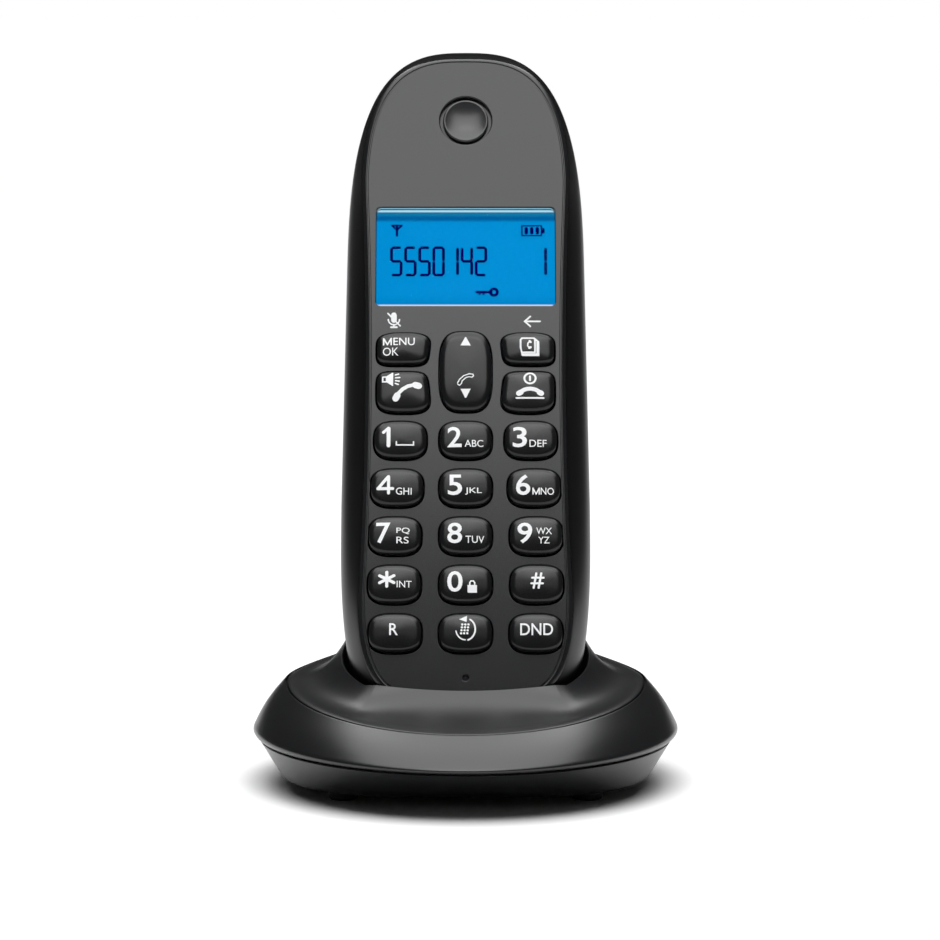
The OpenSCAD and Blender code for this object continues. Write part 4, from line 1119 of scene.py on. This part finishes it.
def buildBottom():
    b = base
    seam = b["lowerSeam"]
    rim = b["wall"] + 0.9
    rings = [under(-2.4, b["foot"]), under(-1.4, b["foot"] + 0.1), under(-0.7, b["foot"] + 0.35),
             under(-0.1, b["foot"] + 0.72), under(0.4, b["foot"] + 1.15)]
    edge, foot = oval(1.3, seam - 0.25), rings[-1]
    rings += [[low.lerp(high, k) for low, high in zip(foot, edge)]
              for k in (0.15, 0.3, 0.45, 0.6, 0.75, 0.88, 0.96, 1)]
    inner = [onBase((b["halfWidth"] - rim - 1.4) * math.sin(f),
                    -(b["halfDepth"] - rim - 3) * math.cos(f), seam - 0.6) for f in turnAngles()]
    rings += [oval(1.42, seam - 0.1), oval(1.6, seam - 0.02), oval(1.8, seam), oval(rim, seam),
              oval(rim, seam + 1.4), oval(rim + 1.3, seam + 1.4), inner,
              under(-1.2, bottom["floor"] + 0.5), under(-3, bottom["floor"])]
    mesh = bmesh.new()
    closedLoft(mesh, rings, strips=True)
    tub = asObject(mesh, "lower_shell", finishes["base_bottom_plastic"], 40)
    cutters = [turned("cutter", None, [(bottom["screwHole"], -1), (bottom["screwHole"], 3.9)],
                      onBase(side * x, y, 0), Vector((0, 0, 1)), 32)
               for x, y in bottom["screws"] for side in (-1, 1)]
    room = pageButton["radius"] + 1.2  # the button's foot passes inside the rim
    cutters.append(turned("cutter", None, [(room, -5.6), (room, 3)],
                          onBase(0, pageButton["y"], pageButton["z"]), pageAxis, 32))
    carve(tub, cutters, 40)
    standFor(tub, "base", "base_bottom_plastic", "base_bottom")


buildBottom()


# The cup that the handset stands in, and the cover that falls away from it to the upper seam

cup = {
    "gap": 0.5, "floorGap": 1.6, "lip": 7.3, "lipWidth": 0.5, "slope": 0.78, "backrest": 45, "arc": 1.3,
    "arcReach": 20, "curl": 8, "bevel": 1.4, "bow": 0.4, "sweep": 2.8, "shoulder": 0.5,
    "frontSteps": 30, "sideSteps": 44, "backSteps": 20,
}


def sectionHalf(depth, s):
    if depth <= handset["parting"]:
        return faceHalf(s) + (bodyHalf(s) - faceHalf(s)) * wallSpread(depth)
    return bodyHalf(s) * (1 - handset["backNarrowing"] * backShare(depth) ** 3)


# Half of the handset's section at height s, grown all round, from the middle of the face to the back
def halfSection(s, grow):
    deep = handset["depth"]
    front = max(faceHalf(s), 8) - cup["bevel"] + grow / 2
    back = sectionHalf(deep, s) + grow / 2
    points = []
    for i in range(cup["frontSteps"] + 1):
        k = i / cup["frontSteps"]
        points.append((front * k, -grow - cup["bow"] * (1 - k * k)))
    for i in range(cup["sideSteps"] + 1):
        depth = handset["edgeDepth"] + (deep - handset["edgeDepth"]) * i / cup["sideSteps"]
        points.append((max(sectionHalf(depth, s), 9) + grow, depth))
    for i in range(cup["backSteps"] + 1):
        k = 1 - i / cup["backSteps"]
        points.append((back * k, deep + grow + cup["bow"] * (1 - k * k)))
    return points


def mouthHeight(point):
    deep = handset["depth"]
    t = min(max(point[1], 0), deep)
    rise = cup["backrest"] - cup["lip"] - cup["slope"] * deep
    return (cup["lip"] + cup["slope"] * t + rise * (t / deep) ** cup["curl"]
            + cup["arc"] * min(1, (point[0] / cup["arcReach"]) ** 2))


def floorHeight(point):
    t = min(max(point[1], 0), handset["depth"])
    if t < handset["parting"]:
        return 4.6 * (1 - t / handset["parting"]) ** 2 - cup["floorGap"]
    return handset["soleRise"] * backShare(t) ** 3 - cup["floorGap"]


# k is 0 on the cup's floor and 1 at its mouth
def cupRing(k, grow, drop=0.0):
    half = []
    for i, guide in enumerate(halfSection(20, grow)):
        s = floorHeight(guide) - drop + (mouthHeight(guide) - floorHeight(guide)) * k
        x, t = halfSection(max(s + 3, 3), grow)[i]
        half.append(onHandset(x, t, s))
    mirrored = [Vector((-p.x, p.y, p.z)) for p in half[-2:0:-1]]
    return half + mirrored


# w is 0 at the upper seam and 1 at the cup's mouth
def coverRing(w, sink=0.0):
    ring = []
    for p in mouthRing:
        x, y, z = p.x / mm, p.y / mm - base["centreY"], p.z / mm
        f = math.atan2(x / seamX, -y / seamY)
        edgeX = (seamX - base["upperGap"]) * math.sin(f)
        edgeY = -(seamY - base["upperGap"]) * math.cos(f)
        edgeZ = seamHeight(edgeY)
        shoulder = cup["shoulder"] * (1 - (1 - min(1, w / 0.16)) ** 2) * (1 - w)
        ring.append(onBase(edgeX + (x - edgeX) * w, edgeY + (y - edgeY) * w,
                           edgeZ + (z - edgeZ) * w ** cup["sweep"] + shoulder - sink))
    return ring


mouthRing = cupRing(1, cup["gap"] + cup["lipWidth"])


def lapRing(cut, drop):
    k = 1 - cut / seamX
    centre = base["centreY"] * mm
    return [Vector((p.x * k, centre + (p.y - centre) * k, p.z)) for p in coverRing(0, drop)]


pins = {"x": 8, "depth": 14.5, "radius": 1.2, "tip": -0.35, "dome": 0.6, "foot": -3.7, "gap": 0.3}


def buildCover():
    gap, wall = cup["gap"], base["wall"]
    rings = [cupRing(k, gap) for k in (0, 0.05, 0.12, 0.22, 0.35, 0.5, 0.65, 0.8, 0.92)]
    rings += [cupRing(1, gap, 0.5), cupRing(1, gap + 0.04, 0.24), cupRing(1, gap + 0.14, 0.07),
              cupRing(1, gap + 0.27, 0.0), cupRing(1, gap + 0.4, 0.02)]
    rings += [coverRing(w) for w in
              (1, 0.985, 0.965, 0.94, 0.91, 0.87, 0.82, 0.76, 0.69, 0.62, 0.54, 0.46, 0.38, 0.3, 0.23, 0.17,
               0.12, 0.08, 0.045, 0.02)]
    rings += [coverRing(0.008, 0.01), coverRing(0.003, 0.05), coverRing(0, 0.14), coverRing(0, 0.4),
              lapRing(wall, 0.4), lapRing(wall, 3), lapRing(2 * wall, 3)]
    rings += [coverRing(w, wall) for w in (0.16, 0.3, 0.46, 0.62)]
    rings += [coverRing(0.78, wall + 0.4)]
    rings += [cupRing(k, gap + wall, wall) for k in (0.62, 0.35, 0.12, 0)]
    mesh = bmesh.new()
    closedLoft(mesh, rings, strips=True)
    cover = asObject(mesh, "top_shell", finishes["base_top_plastic"], 40)
    bore = pins["radius"] + pins["gap"]
    cutters = [turned("cutter", None, [(bore, -8), (bore, 8)],
                      onHandset(side * pins["x"], pins["depth"], 0), along, 32) for side in (-1, 1)]
    carve(cover, cutters, 40)
    standFor(cover, "base", "base_top_plastic", "base_top_cover")


buildCover()
print("base housings built")


def buildPins():
    r, dome = pins["radius"], pins["dome"]
    spring = pins["tip"] - dome  # where the straight side turns into the domed tip
    profile = [(r - 0.1, pins["foot"]), (r, pins["foot"] + 0.1), (r, spring)]
    profile += [(r * math.cos(math.radians(a)), spring + dome * math.sin(math.radians(a)))
                for a in (20, 40, 60, 75, 86)]
    for side, word in ((-1, "left"), (1, "right")):
        pin = turned("pin_tip_" + word, finishes["gold_contact"], profile,
                     onHandset(side * pins["x"], pins["depth"], 0), along, 32)
        standFor(pin, "pin_" + word, "gold_contact", "charge_pin_" + word)


buildPins()

footShape = {"x": 24.5, "y": 22, "radius": 2.9, "sunk": 0.7}


def buildFeet():
    mesh = bmesh.new()
    r = footShape["radius"]
    top = base["foot"] + footShape["sunk"]
    turns = [i * math.pi / 24 for i in range(48)]
    profile = [(r - 1.2, 0.0), (r - 0.45, 0.0), (r - 0.2, 0.06), (r - 0.05, 0.2), (r, 0.42), (r, top),
               (r - 1.2, top)]
    for x in (-footShape["x"], footShape["x"]):
        for y in (-footShape["y"], footShape["y"]):
            closedLoft(mesh, [[onBase(x + q * math.cos(a), y + q * math.sin(a), z) for a in turns]
                              for q, z in profile])
    feet = asObject(mesh, "feet_pads", finishes["foot_rubber"])
    standFor(feet, "base", "foot_rubber", "rubber_feet")


buildFeet()


def buildPageButton():
    r, out = pageButton["radius"], pageButton["proud"]
    profile = [(r, -4.0), (r, out - 0.35), (r - 0.08, out - 0.16), (r - 0.25, out - 0.05), (r - 0.5, out),
               (r - 0.9, out - 0.03), (r - 1.5, out - 0.14), (r - 2.2, out - 0.22), (0.2, out - 0.26)]
    button = turned("page_button_cap", finishes["key_plastic"], profile,
                    onBase(0, pageButton["y"], pageButton["z"]), pageAxis, 64)
    standFor(button, "page_button", "key_plastic", "page_key")


buildPageButton()


# Nodes that keep their own shape take their slot's finish

cellLook = {"low": 59.75, "high": 104.25, "end": (0.6, 0.6, 0.6), "sleeve": (0.03, 0.16, 0.05),
            "label": (0.7, 0.72, 0.7), "roughness": 0.3, "coat": 0.4}


def cellSleeve(name):
    finish, nodes, links, shader = newFinish(name)
    share = heightShare(nodes, links, cellLook["low"], cellLook["high"])
    end, sleeve, label = cellLook["end"], cellLook["sleeve"], cellLook["label"]
    ramp = bands(nodes, links, share, [(0.0, end), (0.03, end), (0.035, sleeve), (0.78, sleeve),
                                       (0.79, label), (0.93, label), (0.96, end)])
    links.new(ramp.outputs["Color"], shader.inputs["Base Color"])
    shader.inputs["Roughness"].default_value = cellLook["roughness"]
    shader.inputs["Coat Weight"].default_value = cellLook["coat"]
    return finish


finishes["circuit_board"] = solderMask("circuit_board")
finishes["cell_sleeve"] = cellSleeve("cell_sleeve")


def paintKeptNodes():
    for name, obj in frame["nodes"].items():
        if obj.hide_render:
            continue
        slot = obj.material_slots[0].name.split(".")[0]
        finish = finishes.get(slot)
        if finish is None:
            print("no finish for", name, slot)
            continue
        if not obj.data.materials:
            obj.data.materials.append(finish)
        for place in obj.material_slots:
            place.material = finish


paintKeptNodes()
print("kept nodes painted")


# Floor, light and camera

studio = {
    "floor": 0.95, "floorSize": 60.0, "gloss": 0.05, "glossRoughness": 0.12, "sky": 0.03, "backdrop": 1.0,
    "distance": 0.9, "elevation": 6.0, "aim": (0.0009, 0.064), "lens": 168.8,
    "sun": {"from": (0.0, 0.05, 1.0), "softness": 70, "strength": 3.42},
    "lamps": {
        "frontBox": {"at": (0.0, -0.321, 0.529), "size": (0.4, 0.24), "power": 1.0},
        "leftBox": {"at": (-0.3, 0.5, 0.75), "size": (0.2, 0.2), "power": 0.6},
        "rightBox": {"at": (0.3, 0.5, 0.75), "size": (0.2, 0.2), "power": 0.6},
    },
    "lampAim": 0.06,
}


def floorFinish():
    finish, nodes, links, shader = newFinish("studio_floor")
    place = nodes.new("ShaderNodeTexCoord")
    drift = spotNoise(nodes, links, place, 400)
    tone = nodes.new("ShaderNodeValToRGB")
    tone.color_ramp.elements[0].color = (*[studio["floor"] * 0.99] * 3, 1)
    tone.color_ramp.elements[1].color = (*[studio["floor"]] * 3, 1)
    links.new(drift.outputs["Fac"], tone.inputs["Fac"])
    matt = nodes.new("ShaderNodeBsdfDiffuse")
    links.new(tone.outputs["Color"], matt.inputs["Color"])
    mirror = nodes.new("ShaderNodeBsdfGlossy")
    mirror.inputs["Roughness"].default_value = studio["glossRoughness"]
    both = nodes.new("ShaderNodeMixShader")
    both.inputs["Fac"].default_value = studio["gloss"]
    links.new(matt.outputs["BSDF"], both.inputs[1])
    links.new(mirror.outputs["BSDF"], both.inputs[2])
    links.new(both.outputs["Shader"], nodes["Material Output"].inputs["Surface"])
    nodes.remove(shader)
    return finish


def buildStudio():
    half = studio["floorSize"]
    mesh = bmesh.new()
    corners = ((-half, -half, 0), (half, -half, 0), (half, half, 0), (-half, half, 0))
    mesh.faces.new([mesh.verts.new(corner) for corner in corners])
    floor = asObject(mesh, "studio_floor", floorFinish())
    world = bpy.data.worlds.new("studio")
    bpy.context.scene.world = world
    world.use_nodes = True
    nodes, links = world.node_tree.nodes, world.node_tree.links
    sky = nodes["Background"]
    seen = nodes.new("ShaderNodeLightPath")  # the backdrop shows white but lights the phone softly
    level = nodes.new("ShaderNodeMapRange")
    level.inputs["To Min"].default_value = studio["sky"]
    level.inputs["To Max"].default_value = studio["backdrop"]
    links.new(seen.outputs["Is Camera Ray"], level.inputs["Value"])
    links.new(level.outputs["Result"], sky.inputs["Strength"])
    sky.inputs["Color"].default_value = (1, 1, 1, 1)
    sun = bpy.data.lights.new("sun", "SUN")
    sun.energy = studio["sun"]["strength"]
    sun.angle = math.radians(studio["sun"]["softness"])
    sunHolder = bpy.data.objects.new("sun", sun)
    sunHolder.rotation_euler = (-Vector(studio["sun"]["from"])).to_track_quat("-Z", "Y").to_euler()
    bpy.context.scene.collection.objects.link(sunHolder)
    target = Vector((0, base["centreY"] * mm, studio["lampAim"]))
    for name, lamp in studio["lamps"].items():
        light = bpy.data.lights.new(name, "AREA")
        light.shape = "RECTANGLE"
        light.size, light.size_y = lamp["size"]
        light.energy = lamp["power"]
        holder = bpy.data.objects.new(name, light)
        holder.location = lamp["at"]
        holder.rotation_euler = (target - holder.location).to_track_quat("-Z", "Y").to_euler()
        bpy.context.scene.collection.objects.link(holder)


def buildCamera():
    camera = bpy.data.cameras.new("camera")
    camera.lens = studio["lens"]
    camera.sensor_width = 36
    camera.clip_start = 0.01
    holder = bpy.data.objects.new("camera", camera)
    aim = Vector((studio["aim"][0], base["centreY"] * mm, studio["aim"][1]))
    rise = math.radians(studio["elevation"])
    holder.location = aim + Vector((0, -math.cos(rise), math.sin(rise))) * studio["distance"]
    holder.rotation_euler = (aim - holder.location).to_track_quat("-Z", "Y").to_euler()
    bpy.context.scene.collection.objects.link(holder)
    bpy.context.scene.camera = holder


buildStudio()
buildCamera()
bpy.context.scene.view_settings.view_transform = "Standard"
print("studio built")
